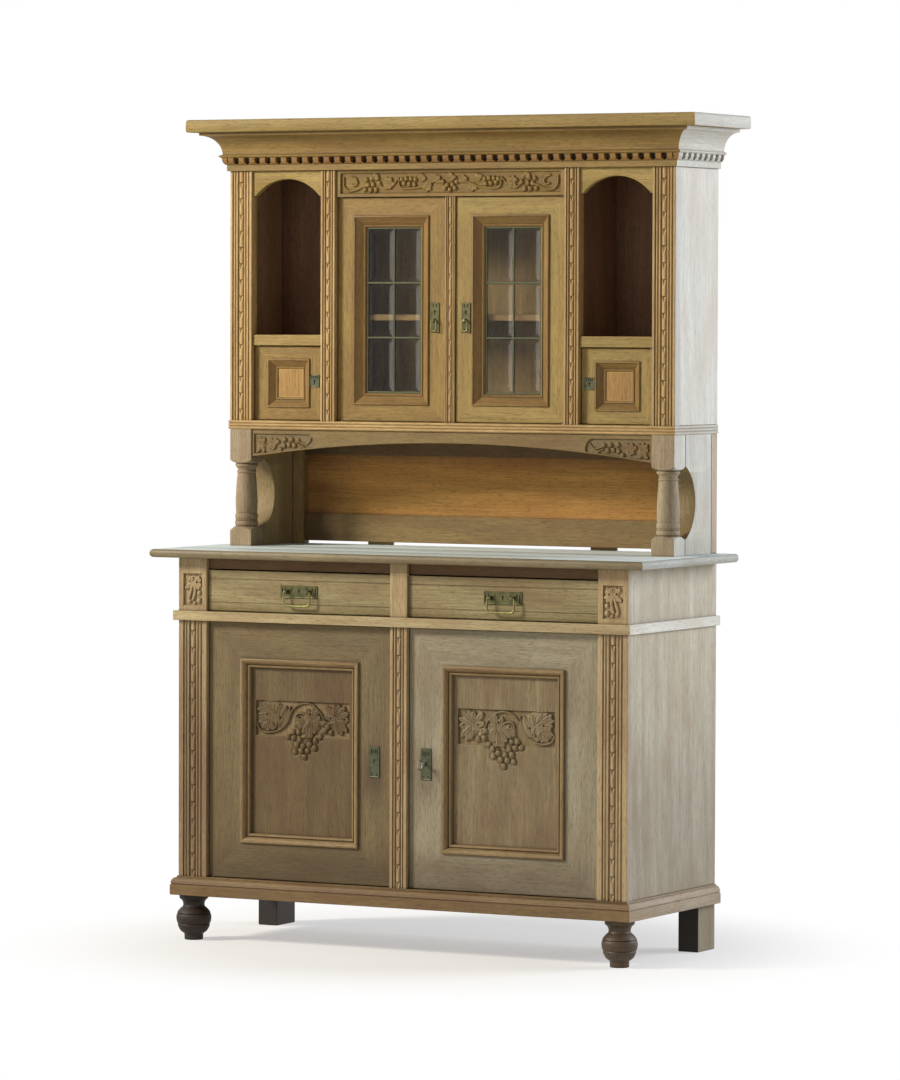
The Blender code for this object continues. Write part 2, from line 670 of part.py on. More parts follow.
def make_counter():
    half = HALF + COUNTER_SIDE_OVERHANG
    front = BASE_FRONT - COUNTER_FRONT_OVERHANG
    nose = COUNTER_THICKNESS / 2
    sections = []
    for i in range(9):
        angle = math.pi * (i / 8 - 0.5)
        inset = nose * 0.75 * (1 - math.cos(angle))
        z = COUNTER_LOW + nose + nose * math.sin(angle)
        sections.append(level_rectangle(half - inset, front + inset, BACK, z))
    loft("counter", sections, GREY_OAK)


# A moulded door frame: rectangles from the outer edge over the moulding to the rebate, as a
# closed ring. Each moulding point is (in from the moulding's outer edge, behind the face).
def framed_door(name, edges, inner, face, thickness, moulding, rebate_face, pivot, material):
    x0, x1, z0, z1 = edges
    a0, a1, c0, c1 = inner

    def ring(inset, behind):
        return upright_rectangle(a0 + inset, a1 - inset, c0 + inset, c1 - inset, face + behind)

    opening = moulding[-1][0]
    sections = [upright_rectangle(x0, x1, z0, z1, face)]
    sections += [ring(inset, behind) for inset, behind in moulding]
    sections += [ring(opening, rebate_face), ring(opening - PANEL_LIP, rebate_face),
                 ring(opening - PANEL_LIP, thickness)]
    sections.append(upright_rectangle(x0, x1, z0, z1, face + thickness))
    frame = loft(name, sections, material, True, pivot)
    add_pins(frame, name, pivot, z0, z1)
    return frame


def add_pins(door, name, pivot, low, high):
    length = PIN_LENGTH + PIN_SEAT
    unite(door, bar(name + "_pin_low", (pivot.x, pivot.y, low + PIN_SEAT), (0, 0, -1), length, PIN_RADIUS, None, 12),
          bar(name + "_pin_high", (pivot.x, pivot.y, high - PIN_SEAT), (0, 0, 1), length, PIN_RADIUS, None, 12))


def opening_span(side, near, far):
    return sorted((side * (near + DOOR_SIDE_GAP), side * (far - DOOR_SIDE_GAP)))


def make_base_door(word, side):
    face = BASE_FRONT + DOOR_RECESS
    pivot = base_pivot(side)
    x0, x1 = opening_span(side, CENTRE_STILE_WIDTH / 2, BASE_OPENING_EDGE)
    z0 = PLINTH_TOP + DOOR_END_GAP
    z1 = WAIST_LOW - DOOR_END_GAP
    inner = (x0 + DOOR_STILE, x1 - DOOR_STILE, z0 + DOOR_RAIL, z1 - DOOR_RAIL)
    width = DOOR_MOULDING_WIDTH
    high = DOOR_MOULDING_HEIGHT
    rebate = DOOR_PANEL_RECESS - FIT
    moulding = [(0, 0), (0, -high * 0.5), (width * 0.08, -high * 0.8), (width * 0.20, -high),
                (width * 0.36, -high * 0.85), (width * 0.44, -high * 0.45), (width * 0.58, high * 0.1),
                (width * 0.80, rebate * 0.5), (width * 0.90, rebate * 0.55), (width, rebate * 0.7)]
    name = "base_door_" + word
    frame = framed_door(name + "_frame", (x0, x1, z0, z1), inner, face, DOOR_THICKNESS, moulding, rebate,
                        pivot, LIMED_OAK)
    reach = width - PANEL_LIP + FIT
    panel = box(name + "_panel", (inner[0] + reach, face + DOOR_PANEL_RECESS, inner[2] + reach),
                (inner[1] - reach, face + DOOR_PANEL_RECESS + PANEL_THICKNESS, inner[3] - reach), LIMED_OAK)
    pieces = [frame, panel]
    if word == "right":
        pieces.append(make_key(frame, x0, face))
    joint(name + "_hinge", pivot, pieces)


# The key in the right door: bow, collar and shank outside, bit behind the door
def make_key(frame, free_edge, face):
    x = free_edge + KEY_EDGE
    z = PLINTH_TOP + KEY_HEIGHT
    behind = face + DOOR_THICKNESS
    bit_width, bit_length, bit_drop = KEY_BIT
    end = behind + 0.002 + bit_length
    start = (x, face - KEY_REACH, z)
    cut(frame, bar("key_hole", (x, face - 0.02, z), (0, 1, 0), DOOR_THICKNESS + 0.04, KEY_RADIUS + PIN_CLEARANCE))
    key = bar("door_key", start, (0, 1, 0), end - start[1], KEY_RADIUS, STEEL, 12)
    work = bmesh.new()
    rows = []
    for i in range(ROUND_STEPS):
        turn = 2 * math.pi * i / ROUND_STEPS
        middle = Vector((math.cos(turn) * KEY_BOW_RADIUS, 0, math.sin(turn) * KEY_BOW_RADIUS * 1.15))
        outward = Vector((math.cos(turn), 0, math.sin(turn)))
        around = [2 * math.pi * k / 6 for k in range(6)]
        rows.append([work.verts.new(middle + outward * KEY_BOW_WIRE * math.cos(a)
                                    + Vector((0, KEY_BOW_WIRE * math.sin(a), 0))) for a in around])
    for i in range(ROUND_STEPS):
        here = rows[i]
        there = rows[(i + 1) % ROUND_STEPS]
        for k in range(6):
            n = (k + 1) % 6
            work.faces.new((here[k], here[n], there[n], there[k]))
    ring = add_solid("key_bow", work, (x, face - KEY_REACH - KEY_BOW_RADIUS + KEY_BOW_WIRE * 0.3, z), None)
    ring.rotation_euler = (0, 0, math.pi / 2)
    unite(key, ring)
    unite(key, bar("key_collar", (x, face - KEY_REACH + 0.006, z), (0, 1, 0), KEY_COLLAR_LENGTH,
                   KEY_COLLAR_RADIUS, None, 12))
    unite(key, box("key_bit", (x - bit_width / 2, behind + 0.002, z - bit_drop), (x + bit_width / 2, end - 0.0005, z)))
    return key


def make_drawer(word, side):
    face = BASE_FRONT + DRAWER_RECESS
    x0, x1 = opening_span(side, CENTRE_STILE_WIDTH / 2, BASE_OPENING_EDGE)
    z0 = WAIST_TOP + DRAWER_GAP
    z1 = DRAWER_TOP - DRAWER_GAP
    name = "drawer_" + word
    drawer = box(name + "_box", (x0, face, z0), (x1, face + DRAWER_FRONT, z1), LIMED_OAK)
    behind = face + DRAWER_FRONT
    end = face + DRAWER_LENGTH
    run = WAIST_TOP + FIT
    side0 = x0 + DRAWER_BOX_INSET
    side1 = x1 - DRAWER_BOX_INSET
    tray = box(name + "_tray", (side0, behind - 0.004, run), (side1, end, run + DRAWER_WALL_HEIGHT))
    cut(tray, box(name + "_hollow", (side0 + DRAWER_WALL, behind, run + DRAWER_BOTTOM),
                  (side1 - DRAWER_WALL, end - DRAWER_WALL, run + DRAWER_WALL_HEIGHT + 0.02)))
    unite(drawer, tray)
    for label, z in (("low", z0 + DRAWER_LINE_INSET), ("high", z1 - DRAWER_LINE_INSET)):
        cut(drawer, box(name + "_line_" + label, (x0 - 0.01, face - 0.01, z - DRAWER_LINE_WIDTH / 2),
                        (x1 + 0.01, face + DRAWER_LINE_DEPTH, z + DRAWER_LINE_WIDTH / 2)))
    middle = (x0 + x1) / 2
    pull_z = WAIST_TOP + PULL_HEIGHT
    plate, bail = make_pull(name, middle, face, pull_z)
    slide = joint(name + "_slide", (middle, face, z0), [drawer, plate])
    swing = joint(name + "_bail_hinge", (middle, face - FIT - PLATE_THICKNESS - PULL_STAND_OFF,
                                         pull_z + PULL_AXIS_RISE), [bail])
    swing.parent = slide
    swing.location = swing.location - slide.location


def plate_outline(size, step):
    half_width = size[0] / 2
    half_height = size[1] / 2
    right = [(half_width - step, -half_height), (half_width - step, -half_height + step),
             (half_width, -half_height + step), (half_width, half_height - step),
             (half_width - step, half_height - step), (half_width - step, half_height)]
    return right + [(-u, v) for u, v in reversed(right)]


def cut_keyhole(plate, name, x, y, z):
    slot_width, slot_drop = KEYHOLE_SLOT
    hole = bar(name + "_keyhole", (x, y - 0.01, z), (0, 1, 0), 0.02, KEYHOLE_RADIUS, None, 12)
    unite(hole, box(name + "_keyslot", (x - slot_width / 2, y - 0.009, z - slot_drop), (x + slot_width / 2, y + 0.009, z)))
    cut(plate, hole)


# A wire that turns in holes at its two ends and hangs in a squared loop between them
def hanging_loop(inner, half_width, drop, corner):
    left = [(-inner, 0, 0), (-half_width + 0.002, 0, 0), (-half_width + 0.0006, 0, -0.0006), (-half_width, 0, -0.002)]
    for i in range(5):
        angle = math.pi / 2 * i / 4
        left.append((-half_width + corner * (1 - math.cos(angle)), 0, -drop + corner * (1 - math.sin(angle))))
    return left + [(-x, y, z) for x, y, z in reversed(left)]


def make_pull(name, x, face, z):
    back = face - FIT
    outline = plate_outline(PULL_PLATE, 0.004)
    place = Matrix.Translation((x, back - PLATE_THICKNESS / 2, z)) @ UPRIGHT_FRONT
    plate = outlined(name + "_plate", outline, PLATE_THICKNESS, place, BRASS)
    axis_y = back - PLATE_THICKNESS - PULL_STAND_OFF
    axis_z = z + PULL_AXIS_RISE
    reach = PULL_STAND_OFF + PULL_POST_RADIUS
    for label, side in SIDES:
        post = bar(name + "_post_" + label, (x + side * PULL_POST_PLACE, back - PLATE_THICKNESS / 2, axis_z),
                   (0, -1, 0), reach + PLATE_THICKNESS / 2, PULL_POST_RADIUS, None, 14)
        unite(plate, post)
    span = PULL_POST_PLACE + PULL_POST_RADIUS + 0.01
    cut(plate, bar(name + "_eye", (x - span, axis_y, axis_z), (1, 0, 0), 2 * span, BAIL_WIRE + WIRE_CLEARANCE, None, 10))
    cut_keyhole(plate, name, x, back, z + 0.003)
    path = hanging_loop(PULL_POST_PLACE - PULL_POST_RADIUS / 2, BAIL_HALF_WIDTH, BAIL_DROP, BAIL_CORNER)
    bail = wire(name + "_bail", path, BAIL_WIRE, (x, axis_y, axis_z), BRASS)
    return plate, bail


def make_open_space():
    low = COUNTER_TOP + FIT
    high = GALLERY_TOP - FIT
    foot_top = low + BALUSTER_FOOT
    head_low = high - BALUSTER_HEAD
    turn = head_low - foot_top
    corner = BALUSTER_SIZE * 0.75
    edge = BALUSTER_SIZE / 2
    ring = BALUSTER_RING_RADIUS
    neck = BALUSTER_NECK_RADIUS
    belly = BALUSTER_BELLY_RADIUS
    shape = [(0.00, ring), (0.055, ring), (0.075, ring - 0.0025), (0.13, neck + 0.0015), (0.185, neck),
             (0.20, neck + 0.003), (0.235, neck + 0.003), (0.25, neck + 0.001), (0.30, neck + 0.0018),
             (0.50, belly - 0.0025), (0.66, belly), (0.79, belly - 0.0012), (0.81, belly - 0.0025),
             (0.825, ring), (0.865, ring), (0.875, ring - 0.002), (0.885, ring), (0.90, ring - 0.002),
             (0.91, ring), (0.965, ring), (1.00, ring - 0.0015)]
    profile = [(0, high + 0.01), (corner, high + 0.01), (corner, head_low + BALUSTER_SHOULDER),
               (corner - 0.004, head_low + BALUSTER_SHOULDER * 0.6), (edge + 0.005, head_low + 0.0025),
               (edge, head_low)]
    profile += [(radius, head_low - turn * t) for t, radius in shape]
    profile += [(edge, foot_top), (corner, foot_top - BALUSTER_SHOULDER), (corner, low - 0.01), (0, low - 0.01)]
    bracket_front = UPPER_FRONT + BALUSTER_SIZE + FIT
    bracket_back = BACK - GALLERY_STILE_DEPTH - BRACKET_GROOVE
    half_chord = math.sqrt(BRACKET_CUT_RADIUS ** 2 - (BRACKET_CUT_RADIUS - BRACKET_CUT_DEPTH) ** 2)
    cut_middle = (foot_top + head_low) / 2
    cut_edge = arc((bracket_front, cut_middle + half_chord), (bracket_front, cut_middle - half_chord), BRACKET_CUT_DEPTH)
    bracket = [(bracket_front, low), (bracket_back, low), (bracket_back, high), (bracket_front, high)] + cut_edge
    for word, side in SIDES:
        baluster = side_box("baluster_" + word, side, HALF - BALUSTER_SIZE, HALF, UPPER_FRONT,
                            UPPER_FRONT + BALUSTER_SIZE, low, high, LIMED_OAK)
        axis = (side * (HALF - edge), UPPER_FRONT + edge, 0)
        boolean(baluster, turned("baluster_turning_" + word, profile, axis, TURNING_STEPS), "INTERSECT")
        place = Matrix.Translation((side * (HALF - BRACKET_THICKNESS / 2), 0, 0)) @ UPRIGHT_SIDE
        outlined("side_bracket_" + word, bracket, BRACKET_THICKNESS, place, LIMED_OAK)


# The framed back of the serving space: stiles, two rails, a thin panel and the blocks that
# hold the lower rail off the counter
def make_gallery_back():
    low = COUNTER_TOP + FIT
    high = GALLERY_TOP - FIT
    stile_front = BACK - GALLERY_STILE_DEPTH
    rail_front = BACK - GALLERY_RAIL_DEPTH
    inner = HALF - GALLERY_STILE_WIDTH
    rail_top = COUNTER_TOP + GALLERY_RAIL_TOP
    reach = inner + 0.02
    gallery = side_box("gallery_back", -1, inner, HALF, stile_front, BACK, low, high, PANEL_OAK)
    unite(gallery, box("gallery_rail", (-reach, rail_front, COUNTER_TOP + GALLERY_SLIT), (reach, BACK - 0.0005, rail_top)))
    unite(gallery, box("gallery_top_rail", (-reach, rail_front, GALLERY_TOP - GALLERY_TOP_RAIL),
                       (reach, BACK - 0.0005, high - 0.0005)))
    unite(gallery, box("gallery_panel", (-reach, BACK - GALLERY_PANEL, rail_top - 0.02),
                       (reach, BACK - 0.001, GALLERY_TOP - GALLERY_TOP_RAIL + 0.02)))
    unite(gallery, side_box("gallery_stile_right", 1, inner, HALF, stile_front, BACK, low, high))
    for word, side in SIDES:
        middle = side * GALLERY_BLOCK_PLACE
        unite(gallery, box("gallery_block_" + word, (middle - GALLERY_BLOCK_WIDTH / 2, BACK - GALLERY_PANEL, low),
                           (middle + GALLERY_BLOCK_WIDTH / 2, BACK - 0.001, COUNTER_TOP + GALLERY_SLIT + 0.01)))


def make_apron():
    edge = HALF - BALUSTER_SIZE - FIT
    high = GALLERY_TOP - FIT
    end = GALLERY_TOP - APRON_END_HEIGHT
    rise = APRON_END_HEIGHT - APRON_CROWN_HEIGHT
    outline = [(edge, high), (-edge, high)] + arc((-edge, end), (edge, end), rise)
    place = Matrix.Translation((0, UPPER_FRONT + APRON_RECESS + APRON_THICKNESS / 2, 0)) @ UPRIGHT_FRONT
    outlined("apron", outline, APRON_THICKNESS, place, LIMED_OAK)


def make_upper_floor():
    reed = UPPER_FLOOR_THICKNESS / REED_COUNT
    sections = []
    for i in range(REED_COUNT):
        for t in (0.06, 0.3, 0.7, 0.94):
            out = REED_OUT * (0.35 + 0.65 * math.sin(math.pi * t))
            z = GALLERY_TOP + reed * (i + t)
            sections.append(level_rectangle(HALF + out, UPPER_FRONT - out, BACK, z))
    first = level_rectangle(HALF + REED_OUT * 0.3, UPPER_FRONT - REED_OUT * 0.3, BACK, GALLERY_TOP)
    last = level_rectangle(HALF + REED_OUT * 0.3, UPPER_FRONT - REED_OUT * 0.3, BACK, UPPER_LOW)
    floor = loft("upper_floor", [first] + sections + [last], GOLDEN_OAK)
    for word, side in SIDES:
        for label, pivot in (("glazed", glazed_pivot(side)), ("small", small_pivot(side))):
            cut(floor, pin_hole(f"floor_{label}_pivot_{word}", pivot, UPPER_LOW, -1))


def glazed_pivot(side):
    x = side * (GLAZED_BAY_HALF - DOOR_SIDE_GAP - PIVOT_INSET)
    return Vector((x, UPPER_FRONT + UPPER_DOOR_RECESS + PIVOT_DEPTH, UPPER_LOW))


def small_pivot(side):
    x = side * (NICHE_EDGE - DOOR_SIDE_GAP - PIVOT_INSET)
    return Vector((x, UPPER_FRONT + UPPER_DOOR_RECESS + PIVOT_DEPTH, UPPER_LOW))


def make_upper_carcass():
    low = UPPER_LOW + FIT
    high = UPPER_TOP - FIT
    behind = UPPER_FRONT + UPPER_STILE_DEPTH
    outer = (OUTER_STILE_WIDTH, UPPER_STILE_DEPTH, OUTER_FLUTES, CORNER_LINK_WIDTH)
    inner = (INNER_STILE_WIDTH, UPPER_STILE_DEPTH, INNER_FLUTES, CENTRE_LINK_WIDTH)
    post = (CENTRE_POST_WIDTH, UPPER_STILE_DEPTH, POST_FLUTES, POST_LINK_WIDTH)
    board_near = PARTITION_MIDDLE - PARTITION / 2
    board_far = PARTITION_MIDDLE + PARTITION / 2
    for word, side in SIDES:
        side_box("upper_side_" + word, side, INSIDE, HALF, behind + FIT, BACK, low, high, GOLDEN_OAK)
        fluted_stile("outer_stile_" + word, side * (HALF - OUTER_STILE_WIDTH / 2), UPPER_FRONT, low, high, outer,
                     UPPER_LINK_PITCH, GOLDEN_OAK)
        partition = fluted_stile("partition_" + word, side * PARTITION_MIDDLE, UPPER_FRONT, low, high, inner,
                                 UPPER_LINK_PITCH, GOLDEN_OAK)
        unite(partition, side_box("partition_board_" + word, side, board_near, board_far, behind - 0.006,
                                  INNER_BACK - FIT, low + 0.0002, high - 0.0002))
    box("upper_back", (-INSIDE + FIT, INNER_BACK, low), (INSIDE - FIT, BACK, high), NICHE_OAK)
    fluted_stile("centre_post", 0, UPPER_FRONT + CENTRE_POST_RECESS, low, FRIEZE_LOW - FIT, post,
                 UPPER_LINK_PITCH, GOLDEN_OAK)
    door_back = UPPER_FRONT + UPPER_DOOR_RECESS + UPPER_DOOR_THICKNESS
    shelf_low = UPPER_LOW + UPPER_SHELF_HEIGHT
    box("upper_shelf", (-board_near + FIT, door_back + SWING_GAP, shelf_low),
        (board_near - FIT, INNER_BACK - FIT, shelf_low + SHELF_BOARD), GOLDEN_OAK)
    frieze = box("frieze_panel", (-GLAZED_BAY_HALF + FIT, UPPER_FRONT + FRIEZE_RECESS, FRIEZE_LOW),
                 (GLAZED_BAY_HALF - FIT, UPPER_FRONT + FRIEZE_RECESS + FRIEZE_THICKNESS, high), GOLDEN_OAK)
    for word, side in SIDES:
        cut(frieze, pin_hole("frieze_pivot_" + word, glazed_pivot(side), FRIEZE_LOW, 1))


def make_niche(word, side):
    near = INNER_STILE_EDGE + FIT
    far = NICHE_EDGE - FIT
    front = UPPER_FRONT + NICHE_FLOOR_RECESS
    behind = UPPER_FRONT + UPPER_STILE_DEPTH + FIT
    board_near = PARTITION_MIDDLE + PARTITION / 2 + FIT
    board_far = INSIDE - FIT
    back = INNER_BACK - FIT
    plan = [(near, front), (far, front), (far, behind), (board_far, behind), (board_far, back), (board_near, back),
            (board_near, behind), (near, behind)]
    plan = [(side * u, v) for u, v in plan]
    place = Matrix.Translation((0, 0, SMALL_DOOR_TOP + NICHE_FLOOR / 2))
    floor = outlined("niche_floor_" + word, plan, NICHE_FLOOR, place, GOLDEN_OAK)
    cut(floor, pin_hole("niche_pivot_" + word, small_pivot(side), SMALL_DOOR_TOP, 1))
    spring = UPPER_TOP - ARCH_BOARD_HEIGHT
    left, right = sorted((side * near, side * far))
    high = UPPER_TOP - FIT
    outline = [(right, spring), (right, high), (left, high), (left, spring)]
    outline += arc((left + ARCH_SHOULDER, spring), (right - ARCH_SHOULDER, spring), ARCH_RISE)
    place = Matrix.Translation((0, UPPER_FRONT + ARCH_RECESS + ARCH_THICKNESS / 2, 0)) @ UPRIGHT_FRONT
    outlined("niche_arch_" + word, outline, ARCH_THICKNESS, place, GOLDEN_OAK)


# A small door is one board with a raised moulding round a sunk square panel
def make_small_door(word, side):
    face = UPPER_FRONT + UPPER_DOOR_RECESS
    pivot = small_pivot(side)
    x0, x1 = opening_span(side, INNER_STILE_EDGE, NICHE_EDGE)
    z0 = UPPER_LOW + DOOR_END_GAP
    z1 = SMALL_DOOR_TOP - DOOR_END_GAP
    x = (x0 + x1) / 2
    z = (z0 + z1) / 2
    outer = SMALL_PANEL_OUTER / 2
    inner = SMALL_PANEL_INNER / 2
    slope = outer - inner

    def square(half, behind):
        return upright_rectangle(x - half, x + half, z - half, z + half, face + behind)

    sections = [upright_rectangle(x0, x1, z0, z1, face + UPPER_DOOR_THICKNESS), upright_rectangle(x0, x1, z0, z1, face),
                square(outer, 0), square(outer, -SMALL_PANEL_RISE * 0.6), square(outer - slope * 0.12, -SMALL_PANEL_RISE),
                square(outer - slope * 0.26, -SMALL_PANEL_RISE * 0.8), square(outer - slope * 0.32, 0.0005),
                square(outer - slope * 0.62, SMALL_PANEL_DEPTH * 0.45), square(inner + slope * 0.12, SMALL_PANEL_DEPTH * 0.6),
                square(inner, SMALL_PANEL_DEPTH)]
    door = loft("small_door_" + word, sections, GOLDEN_OAK, False, pivot)
    add_pins(door, "small_door_" + word, pivot, z0, z1)
    joint("small_door_" + word + "_hinge", pivot, [door])


def make_glazed_door(word, side):
    face = UPPER_FRONT + UPPER_DOOR_RECESS
    pivot = glazed_pivot(side)
    x0, x1 = opening_span(side, CENTRE_POST_WIDTH / 2, GLAZED_BAY_HALF)
    z0 = UPPER_LOW + DOOR_END_GAP
    z1 = FRIEZE_LOW - DOOR_END_GAP
    inner = (x0 + GLAZED_STILE, x1 - GLAZED_STILE, z0 + GLAZED_BOTTOM_RAIL, z1 - GLAZED_TOP_RAIL)
    width = GLAZED_MOULDING_WIDTH
    high = GLAZED_MOULDING_HEIGHT
    rebate = GLASS_RECESS - FIT
    moulding = [(0, 0), (0, -high * 0.6), (width * 0.10, -high), (width * 0.24, -high * 0.9),
                (width * 0.30, -high * 0.2), (width * 0.55, rebate * 0.45), (width * 0.80, rebate * 0.6),
                (width * 0.86, rebate * 0.45), (width, rebate * 0.75)]
    name = "glazed_door_" + word
    frame = framed_door(name + "_frame", (x0, x1, z0, z1), inner, face, UPPER_DOOR_THICKNESS, moulding, rebate,
                        pivot, GOLDEN_OAK)
    glazing = make_glazing(name, inner, face + GLASS_RECESS)
    free_edge = x0 if side > 0 else x1
    plate, pull, axis = make_drop_pull(name, free_edge + side * DROP_PLATE_EDGE, face, UPPER_LOW + DROP_PLATE_HEIGHT)
    hinge = joint(name + "_hinge", pivot, [frame, glazing, plate])
    swing = joint(name + "_pull_hinge", axis, [pull])
    swing.parent = hinge
    swing.location = swing.location - hinge.location


# A leaded light: bevelled panes set in a lattice of brass cames
def make_glazing(name, inner, front):
    reach = GLAZED_MOULDING_WIDTH - PANEL_LIP + FIT
    x0, x1, z0, z1 = (inner[0] + reach, inner[1] - reach, inner[2] + reach, inner[3] - reach)
    sheet_front = front + CAME_PROUD
    sheet_back = sheet_front + GLASS_THICKNESS
    glazing = box(name + "_glazing", (x0, sheet_front, z0), (x1, sheet_back, z1), GLASS)
    edge = GLAZED_MOULDING_WIDTH
    a0, a1, c0, c1 = (inner[0] + edge, inner[1] - edge, inner[2] + edge, inner[3] - edge)
    pane_width = (a1 - a0 - CAME_WIDTH) / PANE_COLUMNS
    pane_height = (c1 - c0 - CAME_WIDTH) / PANE_ROWS
    came_back = sheet_back + CAME_PROUD
    for i in range(PANE_COLUMNS + 1):
        x = a0 + pane_width * i
        unite(glazing, box(f"{name}_came_up_{i}", (x, front, c0), (x + CAME_WIDTH, came_back, c1)))
    for k in range(PANE_ROWS + 1):
        z = c0 + pane_height * k
        unite(glazing, box(f"{name}_came_over_{k}", (a0 + 0.0005, front + 0.0002, z - 0.0003),
                           (a1 - 0.0005, came_back - 0.0002, z + CAME_WIDTH + 0.0003)))
    for i in range(PANE_COLUMNS):
        for k in range(PANE_ROWS):
            left = a0 + CAME_WIDTH * 0.9 + pane_width * i
            right = a0 + CAME_WIDTH * 0.1 + pane_width * (i + 1)
            low = c0 + CAME_WIDTH * 0.9 + pane_height * k
            high = c0 + CAME_WIDTH * 0.1 + pane_height * (k + 1)
            bevel = PANE_BEVEL
            foot = upright_rectangle(left, right, low, high, sheet_front + GLASS_THICKNESS / 4)
            top = upright_rectangle(left + bevel, right - bevel, low + bevel, high - bevel, sheet_front - PANE_RISE)
            unite(glazing, loft(f"{name}_pane_{i}_{k}", [foot, top]))
    return glazing


def make_drop_pull(name, x, face, z):
    back = face - FIT
    place = Matrix.Translation((x, back - PLATE_THICKNESS / 2, z)) @ UPRIGHT_FRONT
    plate = outlined(name + "_plate", plate_outline(DROP_PLATE, 0.003), PLATE_THICKNESS, place, BRASS)
    axis = Vector((x, back - PLATE_THICKNESS - DROP_STAND_OFF, z - DROP_AXIS_FALL))
    reach = DROP_STAND_OFF + DROP_BOSS_RADIUS
    unite(plate, bar(name + "_boss", (x, back - PLATE_THICKNESS / 2, axis.z), (0, -1, 0), reach + PLATE_THICKNESS / 2,
                     DROP_BOSS_RADIUS, None, 12))
    cut(plate, bar(name + "_boss_eye", (x - 0.02, axis.y, axis.z), (1, 0, 0), 0.04, DROP_WIRE + WIRE_CLEARANCE, None, 12))
    cut_keyhole(plate, name, x, back, z + KEYHOLE_RISE)
    path = hanging_loop(DROP_BOSS_RADIUS / 2, DROP_HALF_WIDTH, DROP_LENGTH, DROP_HALF_WIDTH * 0.6)
    return plate, wire(name + "_pull", path, DROP_WIRE, axis, BRASS), axis


# The crown: band, notched ovolo, bead, cove and fillet round three sides, with its own floor
def make_cornice():
    low = UPPER_TOP
    band_top = low + BAND_HEIGHT
    ovolo_top = band_top + OVOLO_HEIGHT
    bead_top = ovolo_top + BEAD_HEIGHT
    cove_top = SLAB_LOW - FILLET_HEIGHT
    profile = [(-CORNICE_WALL, low), (BAND_OUT, low), (BAND_OUT, band_top)]
    for t in (0.5, 1.0):
        out = BAND_OUT + (OVOLO_OUT - BAND_OUT) * math.sin(math.pi / 2 * t)
        profile.append((out, band_top + OVOLO_HEIGHT * (1 - math.cos(math.pi / 2 * t))))
    for t in (0.1, 0.3, 0.5, 0.7, 0.9):
        out = OVOLO_OUT + (BEAD_OUT - OVOLO_OUT) * math.sin(math.pi * t)
        profile.append((out, ovolo_top + BEAD_HEIGHT * t))
    for t in (0.0, 0.2, 0.4, 0.6, 0.8, 1.0):
        out = COVE_FOOT_OUT + (COVE_OUT - COVE_FOOT_OUT) * (1 - math.cos(math.pi / 2 * t))
        profile.append((out, bead_top + (cove_top - bead_top) * math.sin(math.pi / 2 * t)))
    profile += [(FILLET_OUT, cove_top), (FILLET_OUT, SLAB_LOW - FIT), (COVE_OUT - CORNICE_WALL, SLAB_LOW - FIT),
                (-CORNICE_WALL, bead_top)]
    cornice = loft("cornice_moulding", wrapped_sections(profile, HALF, UPPER_FRONT, BACK), GOLDEN_OAK)
    inner = HALF - CORNICE_WALL + 0.005
    unite(cornice, box("crown_floor", (-inner, UPPER_FRONT + CORNICE_WALL - 0.005, low + 0.0003),
                       (inner, BACK - 0.0005, low + CROWN_FLOOR)))
    cut(cornice, make_notches(band_top, ovolo_top))
    half = HALF + SLAB_SIDE_OUT
    front = UPPER_FRONT - SLAB_FRONT_OUT
    sections = []
    for inset, rise in ((0.004, 0.0), (0.0, 0.004), (0.0, 0.026), (0.002, 0.031), (0.006, 0.033)):
        z = SLAB_LOW + rise / 0.033 * CORNICE_BOARD
        sections.append(level_rectangle(half - inset, front + inset, BACK, z))
    loft("cornice_top", sections, GOLDEN_OAK)


# The cutter for the row of pointed notches in the ovolo, along the front and both sides
def make_notches(low, high):
    work = bmesh.new()
    outline = [(-NOTCH_WIDTH / 2, high + 0.001), (-NOTCH_WIDTH / 2, low + 0.007), (0.0, low + 0.001),
               (NOTCH_WIDTH / 2, low + 0.007), (NOTCH_WIDTH / 2, high + 0.001)]
    near = OVOLO_OUT - NOTCH_DEPTH
    far = OVOLO_OUT + 0.002

    def add_notch(place, along, outward):
        rows = []
        for out in (near, far):
            rows.append([work.verts.new(place + along * u + outward * out + Vector((0, 0, v))) for u, v in outline])
        count = len(outline)
        for i in range(count):
            j = (i + 1) % count
            work.faces.new((rows[0][i], rows[0][j], rows[1][j], rows[1][i]))
        work.faces.new(rows[0])
        work.faces.new(rows[1])

    front_count = int(CASE_WIDTH / NOTCH_PITCH)
    for i in range(front_count):
        x = (i - (front_count - 1) / 2) * NOTCH_PITCH
        add_notch(Vector((x, UPPER_FRONT, 0)), Vector((1, 0, 0)), Vector((0, -1, 0)))
    side_count = int((UPPER_DEPTH - NOTCH_WIDTH) / NOTCH_PITCH)
    for _, side in SIDES:
        for i in range(side_count):
            y = UPPER_FRONT + NOTCH_PITCH * (i + 0.5)
            add_notch(Vector((side * HALF, y, 0)), Vector((0, 1, 0)), Vector((side, 0, 0)))
    return add_solid("cornice_notches", work, (0, 0, 0), None)


make_feet()
make_plinth()
make_base_carcass()
make_base_stiles()
make_waist_rail()
make_counter()
make_open_space()
make_gallery_back()
make_apron()
make_upper_floor()
make_upper_carcass()
make_cornice()
for word, side in SIDES:
    make_base_door(word, side)
    make_drawer(word, side)
    make_niche(word, side)
    make_small_door(word, side)
    make_glazed_door(word, side)
bpy.context.view_layer.update()
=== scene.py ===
# Period oak buffet cabinet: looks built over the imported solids, in metres, front towards -Y
import math

